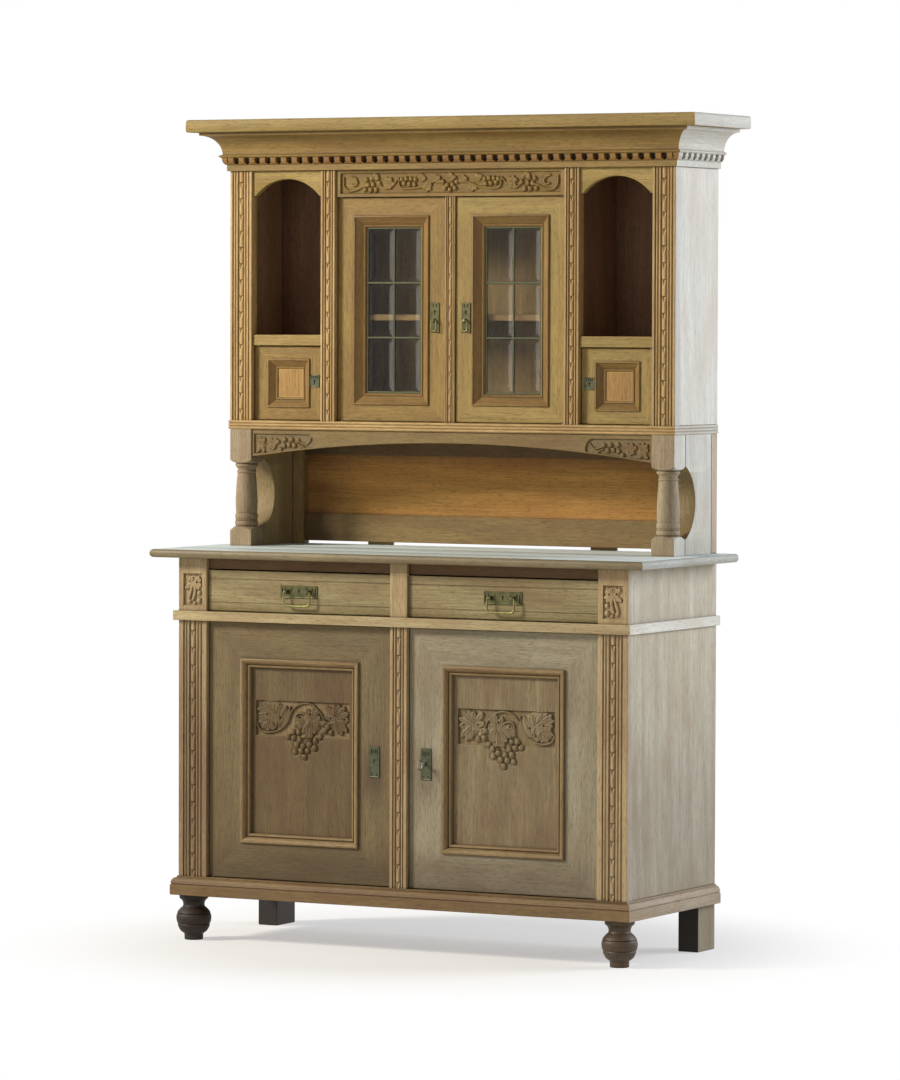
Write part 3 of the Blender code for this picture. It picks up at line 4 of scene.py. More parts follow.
import bmesh
import bpy
import numpy as np
from mathutils import Matrix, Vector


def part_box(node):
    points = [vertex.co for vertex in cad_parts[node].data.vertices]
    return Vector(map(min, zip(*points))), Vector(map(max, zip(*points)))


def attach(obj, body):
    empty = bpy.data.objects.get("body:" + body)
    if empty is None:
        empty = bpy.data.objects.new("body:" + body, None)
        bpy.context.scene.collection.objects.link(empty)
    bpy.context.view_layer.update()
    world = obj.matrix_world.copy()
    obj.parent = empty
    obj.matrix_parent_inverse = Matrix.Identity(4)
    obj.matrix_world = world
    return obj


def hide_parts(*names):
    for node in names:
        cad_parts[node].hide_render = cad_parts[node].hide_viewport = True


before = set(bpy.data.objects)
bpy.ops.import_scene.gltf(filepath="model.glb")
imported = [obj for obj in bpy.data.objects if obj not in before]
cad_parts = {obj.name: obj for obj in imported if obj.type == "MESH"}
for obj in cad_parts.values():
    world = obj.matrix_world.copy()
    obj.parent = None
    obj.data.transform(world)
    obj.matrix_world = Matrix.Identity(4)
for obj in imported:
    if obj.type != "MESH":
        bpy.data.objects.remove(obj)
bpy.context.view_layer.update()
print("frame loaded,", len(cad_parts), "solids")

# heights and faces of the carcass that several pieces share
lines = {"half": 0.650, "back": 0.2785, "baseFront": -0.2335, "upperFront": 0.0265, "plinthLow": 0.119,
         "plinthTop": 0.168, "waistLow": 0.834, "waistTop": 0.859, "drawerTop": 0.969, "counterLow": 0.997,
         "counterTop": 1.0185, "galleryTop": 1.3255, "upperLow": 1.349, "friezeLow": 1.933, "upperTop": 2.003,
         "slabLow": 2.103}
back, baseFront, upperFront = lines["back"], lines["baseFront"], lines["upperFront"]
sides = (("left", -1), ("right", 1))
mm = 0.001
quarter = math.pi / 2


def tint(code):     # sRGB hex to linear
    c = np.array([int(code[i:i + 2], 16) for i in (1, 3, 5)]) / 255
    return (*np.where(c <= 0.04045, c / 12.92, ((c + 0.055) / 1.055) ** 2.4), 1.0)


# a key is an input's name or number, or else a property, and stops are those of a colour ramp; a value that is a
# node stands for its first output in use, and is linked
def addNode(tree, kind, settings={}):
    node = tree.nodes.new("ShaderNode" + kind)
    for key, value in settings.items():
        if isinstance(value, bpy.types.Node):
            value = next(socket for socket in value.outputs if socket.enabled)
        if isinstance(value, bpy.types.NodeSocket):
            tree.links.new(value, node.inputs[key])
        elif key == "stops":
            for stop, (position, code) in zip(node.color_ramp.elements, value):
                stop.position, stop.color = position, tint(code)
        elif isinstance(key, int) or key in node.inputs:
            node.inputs[key].default_value = value
        else:
            setattr(node, key, value)
    return node


def newMaterial(name):
    material = bpy.data.materials.new(name)
    material.use_nodes = True
    material.node_tree.nodes.clear()
    return material, material.node_tree, addNode(material.node_tree, "TexCoord").outputs["Object"]


def closed(material, shader):     # the shader goes to the material's output
    addNode(material.node_tree, "OutputMaterial", {"Surface": shader})
    return material


# open-grained oak, planed, limed and waxed: fine streaks and short pore dashes along the grain, faint growth
# rings, patches where old red-brown stain is left, dark wax and painted shade in the corners, and paler edges, partly
# wear and partly a painted highlight
oakLook = {"fields": {     # mm along the grain, mm across it, detail; pores are about five times too wide, to show
    "streak": (170, 4.5, 3), "fine": (48, 2.4, 2), "pore": (20, 2.2, 1), "cloud": (221, 85, 3)},
    "ringMm": 24, "waxShadeMm": 7, "edgeMm": 3.5, "edgeWearHighlight": 0.30, "spread": 0.08, "mark": "#7a5a3c", "wax": "#4d3521"}
grainTurns = {"x": (0, 0, 0), "y": (0, 0, -quarter), "z": (0, quarter, 0)}


def oak(name, light, dark, stain, pore, rough, waxShade, axis, marks):
    material, tree, place = newMaterial(name)
    g = oakLook
    along = addNode(tree, "Mapping", {"Vector": place, "Rotation": grainTurns[axis]})
    field = {}
    for key, (length, width, detail) in g["fields"].items():
        scaled = addNode(tree, "Mapping", {"Vector": along, "Scale": (1000 / length, 1000 / width, 1000 / width)})
        field[key] = addNode(tree, "TexNoise", {"Vector": scaled, "Scale": 1.0, "Detail": detail, "Roughness": 0.6})
    bent = addNode(tree, "Mapping", {"Vector": along, "Scale": (0.09, 1, 1)})
    ring = addNode(tree, "TexWave", {     # at scale 1 a band is 314 mm wide, and 1.7 times less on the diagonal
        "wave_type": "BANDS", "bands_direction": "DIAGONAL", "Vector": bent, "Scale": 314 / g["ringMm"] / 1.7,
        "Distortion": 9.0, "Detail": 2.0, "Detail Scale": 1.1}).outputs["Fac"]
    mixed = addNode(tree, "Mix", {"data_type": "FLOAT", 0: 0.45, 2: field["streak"], 3: field["fine"]})
    mixed = addNode(tree, "Mix", {"data_type": "FLOAT", 0: 0.10, 2: mixed, 3: ring})
    colour = addNode(tree, "ValToRGB", {"Fac": mixed, "stops": [(0.36, dark), (0.64, light)]})
    patchy = addNode(tree, "MapRange", {"Value": field["cloud"], "From Min": 0.42, "From Max": 0.66, "To Max": 0.55})
    dash = addNode(tree, "MapRange", {"Value": field["pore"], "From Min": 0.54, "From Max": 0.70, "To Max": 0.55})
    for amount, code in ((patchy, stain), (dash, pore)):
        colour = addNode(tree, "Mix", {"data_type": "RGBA", 0: amount, 6: colour, 7: tint(code)})
    lift = addNode(tree, "MapRange", {"Value": addNode(tree, "ObjectInfo").outputs["Random"],
                                      "To Min": 1 - g["spread"], "To Max": 1 + g["spread"]})
    colour = addNode(tree, "HueSaturation", {"Value": lift, "Color": colour})
    layers = []
    for x, z, wide, tall, amount in marks:     # an oval that fades out
        oval = addNode(tree, "Mapping", {"Vector": place, "Location": (-x / wide, 0, -z / tall),
                                         "Scale": (1 / wide, 0, 1 / tall)})
        far = addNode(tree, "VectorMath", {"operation": "LENGTH", 0: oval})
        near = addNode(tree, "MapRange", {"interpolation_type": "SMOOTHSTEP", "Value": far, "From Min": 1.0,
                                          "From Max": 0.2, "To Max": amount})
        layers.append((near, g["mark"], "MULTIPLY"))
    # painted shade mixed with old wax: darker where ambient occlusion finds corners, creases and recesses
    corner = addNode(tree, "AmbientOcclusion", {"samples": 8, "Distance": g["waxShadeMm"] * mm}).outputs["AO"]
    waxAndShade = addNode(tree, "MapRange", {"Value": corner, "From Min": 0.90, "From Max": 0.28, "To Max": waxShade})
    # paler convex edges, partly wear and partly a painted highlight
    edge = addNode(tree, "AmbientOcclusion", {"samples": 6, "inside": True, "Distance": g["edgeMm"] * mm}).outputs["AO"]
    wornEdgeHighlight = addNode(tree, "MapRange", {"Value": edge, "From Min": 0.72, "From Max": 0.30, "To Max": g["edgeWearHighlight"]})
    for amount, code, blend in layers + [(waxAndShade, g["wax"], "MULTIPLY"), (wornEdgeHighlight, light, "SCREEN")]:
        colour = addNode(tree, "Mix", {"data_type": "RGBA", "blend_type": blend, 0: amount, 6: colour, 7: tint(code)})
    gloss = addNode(tree, "MapRange", {"Value": mixed, "To Min": rough - 0.08, "To Max": rough + 0.14})
    relief = addNode(tree, "Math", {"operation": "SUBTRACT", 0: field["fine"], 1: dash})
    bump = addNode(tree, "Bump", {"Height": relief, "Strength": 0.30, "Distance": 0.0005})
    return closed(material, addNode(tree, "BsdfPrincipled", {"Base Color": colour, "Roughness": gloss, "Normal": bump,
                                                             "Specular IOR Level": 0.36}))


finishes = {     # light wood, dark wood, left-over stain, pores, how rough, how much old wax and painted shade darken the corners
    "limed": ("#9b8961", "#7d6b48", "#7c6040", "#58472d", 0.60, 0.60),
    "drawer": ("#968a63", "#726442", "#745c3c", "#4f412a", 0.60, 0.60),
    "rail": ("#b19c75", "#8f7957", "#8c6c4d", "#665139", 0.60, 0.80),
    "waist": ("#b5a57d", "#94825e", "#917452", "#6a583e", 0.60, 0.60),
    # painted light: a much paler copy of the waist finish for the window-lit ends
    "waistSideLit": ("#eae7da", "#d0cdc0", "#cfc3ad", "#b4ae9e", 0.46, 0.50),
    "baluster": ("#ab9c7e", "#8a795e", "#876c53", "#62513e", 0.60, 0.80),
    "arch": ("#897346", "#6f5a33", "#6e502d", "#4d3b20", 0.58, 0.60),
    "plinth": ("#7f6744", "#654f31", "#664629", "#45321c", 0.58, 0.65),
    # painted light: a much paler copy of the plinth finish for window-lit side faces
    "plinthSideLit": ("#bcac95", "#9a8870", "#967a57", "#7d6b52", 0.52, 0.50),
    "worn": ("#7a6a48", "#605236", "#614b30", "#423521", 0.60, 0.60),
    "wornPanel": ("#685535", "#514227", "#533b22", "#372a17", 0.60, 0.68),
    "greyed": ("#9f967e", "#807761", "#7d6d53", "#5d523f", 0.56, 0.60),
    "greyedPanel": ("#867657", "#6a5c42", "#685036", "#4a3d29", 0.58, 0.62),
    "trim": ("#937c55", "#735e3b", "#725535", "#4c3b24", 0.52, 0.75),
    "ground": ("#86734f", "#6a593c", "#675033", "#483925", 0.66, 0.62),
    # painted light: pale finish standing for window light on the side boards
    "sideBoardLit": ("#d1cab6", "#b0a68e", "#a89373", "#918470", 0.52, 0.50),
    # painted light: near-white finish standing for window light on side faces
    "sideLit": ("#d3d0c4", "#b9b6a8", "#b8ab96", "#9f998a", 0.46, 0.50),
    "golden": ("#a48c50", "#826d37", "#846832", "#5c4923", 0.54, 0.60),
    "crown": ("#967a3f", "#755d2a", "#785726", "#513d1a", 0.54, 0.75),
    "goldenStile": ("#c7a873", "#9f8152", "#9e7b47", "#6f5832", 0.54, 0.80),
    "goldenTrim": ("#8e6f3a", "#6c5226", "#6d4c21", "#473415", 0.50, 0.90),
    "goldenGround": ("#8b7039", "#6d5527", "#6f5022", "#493617", 0.62, 0.85),
    "ovolo": ("#967037", "#725225", "#764d1f", "#4d3314", 0.52, 0.65),
    "honey": ("#ab874b", "#8c6a37", "#8e642e", "#654822", 0.50, 0.60),
    "counter": ("#877a5c", "#6a5f45", "#6f5b3e", "#4f4431", 0.45, 0.50),
    # painted reflection: near-white, cool top standing for the sky's glare; painted light: pale grey ends for the
    # window light
    "counterTop": ("#e8f5f8", "#d3e3e6", "#ced8d6", "#afbab7", 0.48, 0.50),
    "counterEndLit": ("#b7b8ae", "#9a9b90", "#9a9484", "#807d70", 0.44, 0.50),
    "amber": ("#c8964b", "#99702e", "#a46d30", "#6a461b", 0.55, 0.60),
    "niche": ("#85654b", "#644a37", "#744d35", "#442d1f", 0.58, 0.55),
    "nicheSide": ("#a98f70", "#886f54", "#8e7050", "#5d4935", 0.58, 0.55),
    "lining": ("#9f7c47", "#785d33", "#846030", "#503a1d", 0.55, 0.55),
    "shelf": ("#7a5a26", "#5f451a", "#634116", "#3f2c0e", 0.55, 0.60),
    # painted shade: dark finish for the rail under the counter's overhang
    "railShaded": ("#684d29", "#513a1c", "#533519", "#372510", 0.60, 0.60),
    "foot": ("#5a4834", "#3c2e20", "#483521", "#271d13", 0.46, 0.65),
    # painted shade: a darker copy of the foot finish for the left feet
    "footShaded": ("#32251a", "#1e150d", "#271a0f", "#120c07", 0.56, 0.65),
    # painted shade: near-black finish for the insides of the cornice notches and the back feet's fronts
    "blackened": ("#2a241e", "#1c1814", "#221b15", "#120f0c", 0.60, 0.50),
    "bare": ("#b0946a", "#93774d", "#97764c", "#775e3a", 0.70, 0.50),
}
# darkened ovals as (x, z, half width, half height, amount); the notes say which are painted shade
handMarks = [(side * 0.075, 0.455, 0.045, 0.11, 0.45) for side in (-1, 1)]     # base doors, at the key plates
bottomRailShade = [(side * 0.295, 0.185, 0.50, 0.13, 0.50) for side in (-1, 1)]     # painted shade on their bottom rails, darker towards the floor
sideLowShade = [(side * 0.650, 0.20, 0.50, 0.60, 0.34) for side in (-1, 1)]     # base sides, darker low down: painted shade
stileMarks = [(-0.608, 0.40, 0.12, 0.55, 0.46)]     # left corner stile, below its block
galleryShadow = [(-0.56, 1.10, 0.20, 0.30, 0.68), (0, 1.275, 3.0, 0.075, 0.55)]     # painted shadow in the serving space: its left end and along the top
woods = {}


def wood(finish, axis, marks=()):     # one material for each finish and grain direction, made when first asked for
    # materials with ovals get a suffix, for hand marks and painted shade alike
    key = finish + axis.upper() + ("_marked" if marks else "")
    if key not in woods:
        woods[key] = oak("oak_" + key, *finishes[finish], axis, marks)
    return woods[key]


# cast brass, long unpolished: yellow metal under a brown-green skin that stays in the hollows
brassLook = {"cloudMm": 14, "grainMm": 0.9, "hollowMm": 6}


def agedBrass(name, metal, skin):
    material, tree, place = newMaterial(name)
    b = brassLook
    cloud = addNode(tree, "TexNoise", {"Vector": place, "Scale": 1000 / b["cloudMm"], "Detail": 5})
    grain = addNode(tree, "TexNoise", {"Vector": place, "Scale": 1000 / b["grainMm"], "Detail": 3})
    hollow = addNode(tree, "AmbientOcclusion", {"samples": 8, "Distance": b["hollowMm"] * mm}).outputs["AO"]
    deep = addNode(tree, "MapRange", {"Value": hollow, "From Min": 0.95, "From Max": 0.45, "To Max": 0.9})
    patchy = addNode(tree, "MapRange", {"Value": cloud, "From Min": 0.38, "From Max": 0.66, "To Max": 0.75})
    cover = addNode(tree, "Math", {"operation": "MAXIMUM", 0: deep, 1: patchy})
    colour = addNode(tree, "Mix", {"data_type": "RGBA", 0: cover, 6: tint(metal), 7: tint(skin)})
    gloss = addNode(tree, "MapRange", {"Value": cover, "To Min": 0.34, "To Max": 0.62})
    bump = addNode(tree, "Bump", {"Height": grain, "Strength": 0.25, "Distance": 0.0002})
    return closed(material, addNode(tree, "BsdfPrincipled", {"Base Color": colour, "Roughness": gloss, "Normal": bump,
                                                             "Metallic": 0.65}))


# forged steel worn bright by hands, with dull brown specks
steelLook = {"speckMm": 2.5, "stops": [(0.35, "#6f675c"), (0.62, "#b9b6ae")]}


def wornSteel(name):
    material, tree, place = newMaterial(name)
    speck = addNode(tree, "TexNoise", {"Vector": place, "Scale": 1000 / steelLook["speckMm"], "Detail": 4})
    colour = addNode(tree, "ValToRGB", {"Fac": speck, "stops": steelLook["stops"]})
    gloss = addNode(tree, "MapRange", {"Value": speck, "To Min": 0.50, "To Max": 0.28})
    return closed(material, addNode(tree, "BsdfPrincipled", {"Base Color": colour, "Roughness": gloss, "Metallic": 1.0}))


# old drawn glass with a slight wave in its faces, clear and faintly grey; lamps shine through it; its ground and
# polished bevels are a little less smooth; the index is low, so that the white studio leaves the panes dark
glassLook = {"wavesPerMetre": 22.0, "grey": "#e6e9e4"}


def oldGlass(name, rough, index):
    material, tree, place = newMaterial(name)
    wave = addNode(tree, "TexNoise", {"Vector": place, "Scale": glassLook["wavesPerMetre"], "Detail": 1})
    bump = addNode(tree, "Bump", {"Height": wave, "Strength": 0.05, "Distance": 0.001})
    grey = tint(glassLook["grey"])
    solid = addNode(tree, "BsdfPrincipled", {"Base Color": grey, "Roughness": rough, "IOR": index,
                                             "Transmission Weight": 1.0, "Normal": bump})
    clear = addNode(tree, "BsdfTransparent", {"Color": grey})
    ray = addNode(tree, "LightPath").outputs["Is Shadow Ray"]
    return closed(material, addNode(tree, "MixShader", {0: ray, 1: solid, 2: clear}))


# drawn and soldered lead, or soot: dull and cloudy
dullLook = {"cloudMm": 6.25}


def dullMetal(name, light, dark, metallic, rough):
    material, tree, place = newMaterial(name)
    cloud = addNode(tree, "TexNoise", {"Vector": place, "Scale": 1000 / dullLook["cloudMm"], "Detail": 4})
    colour = addNode(tree, "Mix", {"data_type": "RGBA", 0: cloud, 6: tint(dark), 7: tint(light)})
    return closed(material, addNode(tree, "BsdfPrincipled", {"Base Color": colour, "Metallic": metallic,
                                                             "Roughness": rough}))


brass = agedBrass("aged_brass", "#5f5c39", "#34341f")
handled = agedBrass("aged_brass_marked", "#8a8450", "#5a5733")     # rubbed by hands
tarnished = agedBrass("aged_brass_tarnished", "#555740", "#303226")     # skin nearly whole
steel = wornSteel("worn_steel")
glass = oldGlass("drawn_glass_clear", 0.02, 1.25)
bevel = oldGlass("drawn_glass_bevel", 0.05, 1.30)
came = dullMetal("lead_came", "#54573f", "#2f3023", 0.7, 0.48)
pit = dullMetal("blackened_hollow", "#15110c", "#0b0806", 0.0, 0.9)     # painted shade: the near-black inside of keyholes and slots
print("materials ready")


# a grid of points (rows, columns, 3) with its material slot; wrap closes the columns into a loop, and a cap
# closes the first or last row with one face
def patch(points, slot=0, wrap=False, first=False, last=False):
    return {"points": np.asarray(points, float), "slot": slot, "wrap": wrap, "first": first, "last": last}


def tube(points, slot=0):     # closed all round and at both ends
    return patch(points, slot, True, True, True)


def grid(x, y, z):     # points from x, y and z, each spread over the shape of all three
    return np.stack(np.broadcast_arrays(x, y, z), -1)


def makePiece(name, patches, materials, body="carcass", nodes=(), angle=32):
    points, faces, slots, start = [], [], [], 0
    for p in patches:
        rows, cols = p["points"].shape[:2]
        points.append(p["points"].reshape(-1, 3))
        i, k = np.meshgrid(np.arange(rows - 1), np.arange(cols if p["wrap"] else cols - 1), indexing="ij")
        n = (k + 1) % cols
        corners = [i * cols + k, (i + 1) * cols + k, (i + 1) * cols + n, i * cols + n]
        quads = np.stack(corners, -1).reshape(-1, 4) + start
        faces.extend(quads.tolist())
        slots.append(np.broadcast_to(np.asarray(p["slot"]).reshape(-1), (len(quads),)))
        caps = [start + row * cols for row, end in ((0, "first"), (rows - 1, "last")) if p[end]]
        faces.extend([list(range(c, c + cols)) for c in caps])
        slots.append(np.full(len(caps), p["slot"] if np.ndim(p["slot"]) == 0 else 0))
        start += rows * cols
    mesh = bpy.data.meshes.new(name)
    mesh.from_pydata(np.concatenate(points), [], faces)
    mesh.polygons.foreach_set("material_index", np.concatenate(slots).astype(np.int32))
    shell = bmesh.new()
    shell.from_mesh(mesh)
    bmesh.ops.remove_doubles(shell, verts=shell.verts, dist=0.000002)
    bmesh.ops.recalc_face_normals(shell, faces=shell.faces)
    shell.to_mesh(mesh)
    shell.free()
    mesh.shade_smooth()
    mesh.set_sharp_from_angle(angle=math.radians(angle))
    piece = bpy.data.objects.new(name, mesh)
    bpy.context.scene.collection.objects.link(piece)
    for material in materials:
        mesh.materials.append(material)
    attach(piece, body)
    if nodes:
        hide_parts(*nodes)
    return piece


# extra points close to each corner of a closed profile, so that flats stay flat when shaded smooth
def hold(profile, near=0.0007):
    p = np.asarray(profile, float)
    step = np.roll(p, -1, 0) - p
    far = np.linalg.norm(step, axis=1, keepdims=True)
    move = step / np.maximum(far, 1e-9) * near
    long = far[:, 0] > near * 5
    return np.stack([p, p + move, p + step - move], 1)[np.stack([np.ones(len(p), bool), long, long], 1)]


# a box whose points are pushed out from its shrunken core by the edge radius, so the edges are round;
# ends gives another slot to a face, keyed by (axis, 0 for its low or 1 for its high end)
def roundBox(low, high, soft=0.0013, slot=0, ends={}):
    low, high = np.array(low, float), np.array(high, float)
    near = np.array([0, soft * 0.3, soft, soft + 0.0006])
    found = []
    for axis in range(3):
        u, v = [k for k in range(3) if k != axis]
        marks = [np.concatenate([low[k] + near, high[k] - near[::-1]]) for k in (u, v)]
        for end in (0, 1):
            p = np.empty((8, 8, 3))
            p[..., u], p[..., v] = np.meshgrid(*marks, indexing="ij")
            p[..., axis] = (low, high)[end][axis]
            core = np.clip(p, low + soft, high - soft)
            out = p - core
            out *= soft / np.linalg.norm(out, axis=-1, keepdims=True)
            found.append(patch(core + out, ends.get((axis, end), slot)))
    return found


def boxes(rows, soft=0.001):     # round boxes, each as its spans in x, y and z, its slot and its ends
    return [face for x, y, z, *rest in rows for face in roundBox(*np.sort([x, y, z], 1).T, soft, *rest)]


def boxOf(node):
    low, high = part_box(node)
    return np.array(low), np.array(high)


def board(node, materials, soft=0.0013, ends={}):     # a plain board in place of its solid
    return makePiece(node + "_board", roundBox(*boxOf(node), soft, 0, ends), materials, "carcass", [node])


# a profile of (out, height) carried round the left side, front and right side, with mitred corners;
# slot 0 runs along X, slot 1 along Y, slot 2 is inside what is carved away, and slot 3 is the front between
# the two heights of strip
def wrapSweep(profile, front, steps=1, carve=None, strip=(0, 0)):
    half = lines["half"]
    out, z = hold(profile).T
    level = (z + np.roll(z, -1)) / 2
    striped = (level > strip[0]) & (level < strip[1])
    found = []
    for side in (-1, 0, 1):
        t = np.linspace(0, 1, (max(1, steps // 5) if side else steps) + 1)[:, None]
        if side:
            y = back + (front - out - back) * (t if side < 0 else 1 - t)
            cut = carve(y - front, z, side) if carve else 0 * y
            p = grid(side * (half + out - cut), y, z)
        else:
            x = (half + out) * (2 * t - 1)
            cut = carve(x, z, side) if carve else 0 * x
            p = grid(x, front - out + cut, z)
        deep = np.minimum(cut[:-1], cut[1:])
        deep = np.minimum(deep, np.roll(deep, -1, 1)) > 0.004
        found.append(patch(p, np.where(deep, 2, 1 if side else np.where(striped, 3, 0)), True, side < 0, side > 0))
    return found


# level rectangles stacked by (inset, height): front and back in slot 0, ends in slot 1, top and bottom in slot 0
def stackedSlab(levels, half, front):
    inset, z = np.asarray(levels, float).T
    x, y = half - inset, front + inset
    rim = [grid(-x, y, z), grid(x, y, z), grid(x, back, z), grid(-x, back, z)]
    found = [patch(np.stack([rim[i], rim[(i + 1) % 4]], 1), i % 2) for i in range(4)]
    return found + [patch([[rim[0][e], rim[1][e]], [rim[3][e], rim[2][e]]]) for e in (0, -1)]


# rows of points in the X-Z plane with their own depth y, closed by a wall to a flat back; low and high are the
# slots of the wall's two end faces in X
def reliefSlab(x, y, z, rear, slot=0, low=0, high=0):
    face = grid(x, y, z)
    edges = [face[:-1, 0], face[-1, :-1], face[:0:-1, -1], face[0, :0:-1]]
    loop = np.concatenate(edges)
    flat = loop.copy()
    flat[:, 1] = rear
    wall = np.repeat([0, high, 0, low], [len(e) for e in edges])
    return [patch(face, slot), patch(np.stack([loop, flat]), wall, True, False, True)]


# a radius for each height, less where the square block of that half width cuts it
def turnedPiece(radius, height, x, y, block=None, around=72, slot=0, power=36):
    angle = np.linspace(0, 2 * math.pi, around, endpoint=False)
    c, s = np.cos(angle), np.sin(angle)
    r = np.repeat(np.asarray(radius, float)[:, None], around, 1)
    if block:
        r = np.minimum(r, block / (np.abs(c) ** power + np.abs(s) ** power) ** (1 / power))
    return [tube(grid(x + r * c, y + r * s, np.asarray(height, float)[:, None]), slot)]


def finer(values, count):     # count values at even steps along the same broken line
    return np.interp(np.linspace(0, 1, count), np.linspace(0, 1, len(values)), values)


# a round wire along a path that lies in one X-Z plane
def wirePiece(path, radius, around=14):
    along = np.gradient(path, axis=0)
    along /= np.linalg.norm(along, axis=1, keepdims=True)
    across = grid(along[:, 2], 0, -along[:, 0])[:, None]
    a = np.linspace(0, 2 * math.pi, around, endpoint=False)[None, :, None]
    return [tube(path[:, None] + radius[:, None, None] * (np.cos(a) * across + np.sin(a) * np.array([0, 1, 0])))]


# carving is a height over a ground, as a function of x and z in mm
def grape(x, z, cx, cz, r):     # a ball, flattened a little
    return 0.85 * np.sqrt(np.maximum(0, r * r - (x - cx) ** 2 - (z - cz) ** 2))


# a half-round rib: height falls with the distance to a smooth line through the points
def stem(x, z, points, width, rise):
    p = np.asarray(points, float)
    t = np.linspace(0, len(p) - 1, (len(p) - 1) * 7 + 1)
    i = np.clip(t.astype(int), 0, len(p) - 2)
    f = (t - i)[:, None]
    m = np.gradient(p, axis=0)
    p = ((2 * f ** 3 - 3 * f ** 2 + 1) * p[i] + (f ** 3 - 2 * f ** 2 + f) * m[i]
         + (3 * f ** 2 - 2 * f ** 3) * p[i + 1] + (f ** 3 - f ** 2) * m[i + 1])
    best = np.full(x.shape, 1e9)
    for a, b in zip(p[:-1], p[1:]):
        d = b - a
        s = np.clip(((x - a[0]) * d[0] + (z - a[1]) * d[1]) / (d @ d + 1e-9), 0, 1)
        best = np.minimum(best, (x - a[0] - s * d[0]) ** 2 + (z - a[1] - s * d[1]) ** 2)
    return rise * np.sqrt(np.maximum(0, 1 - best / width ** 2))


# one lobe of a leaf: a drop that widens towards its round tip, domed across; and the vein along it, 1 on its line
def lobe(x, z, base, tip, width, rise, widest=0.62):
    dx, dz = tip[0] - base[0], tip[1] - base[1]
    far = math.hypot(dx, dz)
    t = ((x - base[0]) * dx + (z - base[1]) * dz) / far ** 2
    off = np.abs((x - base[0]) * dz - (z - base[1]) * dx) / far
    half = width * np.sqrt(np.clip(1 - ((t - widest) / np.where(t < widest, 0.68, 1 - widest)) ** 2, 0, 1))
    dome = np.sqrt(np.clip(1 - (off / np.maximum(half, 1e-6)) ** 2, 0, 1))
    vein = np.exp(-(off / 1.1) ** 2) * ((t > 0.04) & (t < 0.84))
    return np.where((t > -0.06) & (t < 1), rise * dome ** 0.8, 0), vein


# the highest of a flat dome and the lobes round it, each a little higher or lower than the next, with veins cut in
def leaf(x, z, base, tips, width, rise):
    ends = np.asarray(tips, float)
    middle = (np.mean(ends, 0) + base) / 2
    reach = 0.74 * np.mean(np.linalg.norm(ends - base, axis=1))
    h = 0.85 * rise * np.sqrt(np.clip(1 - ((x - middle[0]) ** 2 + (z - middle[1]) ** 2) / reach ** 2, 0, 1))
    vein = np.zeros(x.shape)
    for i, tip in enumerate(tips):
        dome, line = lobe(x, z, base, tip, width, rise * (1 - 0.14 * (i % 2)))
        h, vein = np.maximum(h, dome), np.maximum(vein, line)
    return h * (1 - 0.30 * vein)


# the highest of a spray's leaves, stems and grapes, with eyes drilled into it; leaves are (base, tips, width)
def carving(x, z, spray):
    h = np.zeros(x.shape)
    for row in spray["leaves"]:
        h = np.maximum(h, leaf(x, z, *row, spray["leafRise"]))
    for points in spray["stems"]:
        h = np.maximum(h, stem(x, z, points, *spray["stem"]))
    for row in spray["grapes"]:
        h = np.maximum(h, grape(x, z, *row))
    for cx, cz in spray.get("eyes", ()):
        h = np.where(np.hypot(x - cx, z - cz) < spray["eye"], -1.5, h)
    return h


def allFour(mask):     # faces whose four corners are all marked
    return (mask[:-1, :-1] & mask[1:, :-1] & mask[1:, 1:] & mask[:-1, 1:]).reshape(-1).astype(int)


def smoothStep(low, high, value):
    t = np.clip((value - low) / (high - low), 0, 1)
    return t * t * (3 - 2 * t)


# turned front feet: a radius for each height in mm, from the top down; square back feet
footLook = {"radius": [36.8, 37.8, 37.8, 36.6, 32.5, 29, 27.6, 29, 33.5, 37.2, 40.5, 43, 43.4, 41.6, 43.6, 45.2, 45.8,
                       45.5, 44.4, 43.4, 40.8, 42, 41.8, 40.2, 37.8, 34.5, 30, 26.2, 25, 24.6, 24.4, 23.4],
            "height": [118.7, 117.8, 108.6, 107.3, 104, 99, 91.4, 86.2, 82.7, 79, 75.2, 71.2, 70, 68.8, 67.6, 63, 57.6,
                       53, 47.6, 44, 41.8, 39.6, 37.2, 32.6, 27.5, 22.5, 19, 16.5, 15, 13.8, 2, 0],
            "rows": 120, "soft": 0.002}
for word, side in sides:
    node = "foot_front_" + word
    radius, height = [finer(footLook[key], footLook["rows"]) * mm for key in ("radius", "height")]
    # painted shade and light: the left feet take the darker finish, the right back foot the paler greyed one, and the
    # back feet's fronts the near-black one
    makePiece("turned_foot_" + word, turnedPiece(radius, height, *sum(boxOf(node))[:2] / 2),
              [wood("foot" if side > 0 else "footShaded", "z")], nodes=[node])
    board("foot_back_" + word, [wood("greyed" if side > 0 else "footShaded", "z"), wood("blackened", "z")],
          footLook["soft"], {(1, 0): 1})

plinthLook = {     # mm out from the carcass and up; the bow is a quarter of an ellipse, as its middle and its radii
    "lower": [(-60, 0), (14.9, 0), (16.4, 1.5), (16.4, 26), (15.4, 27), (13.6, 27.4), (13.6, 29.4), (15.4, 30.4)],
    "bow": np.array([(4, 31), (11, 14)]), "upper": [(3, 45.4), (3, 49), (-60, 49)]}
p = plinthLook
a = np.linspace(0, quarter, 9)
bow = p["bow"][0] + p["bow"][1] * np.stack([np.cos(a), np.sin(a)], -1)
profile = np.concatenate([p["lower"], bow, p["upper"]]) * mm + (0, lines["plinthLow"])
# painted light: the plinth's ends take the pale lit finish
makePiece("plinth_moulding", wrapSweep(profile, baseFront), [wood("plinth", "x"), wood("plinthSideLit", "y")],
          nodes=["plinth_frame"])
print("feet and plinth done")

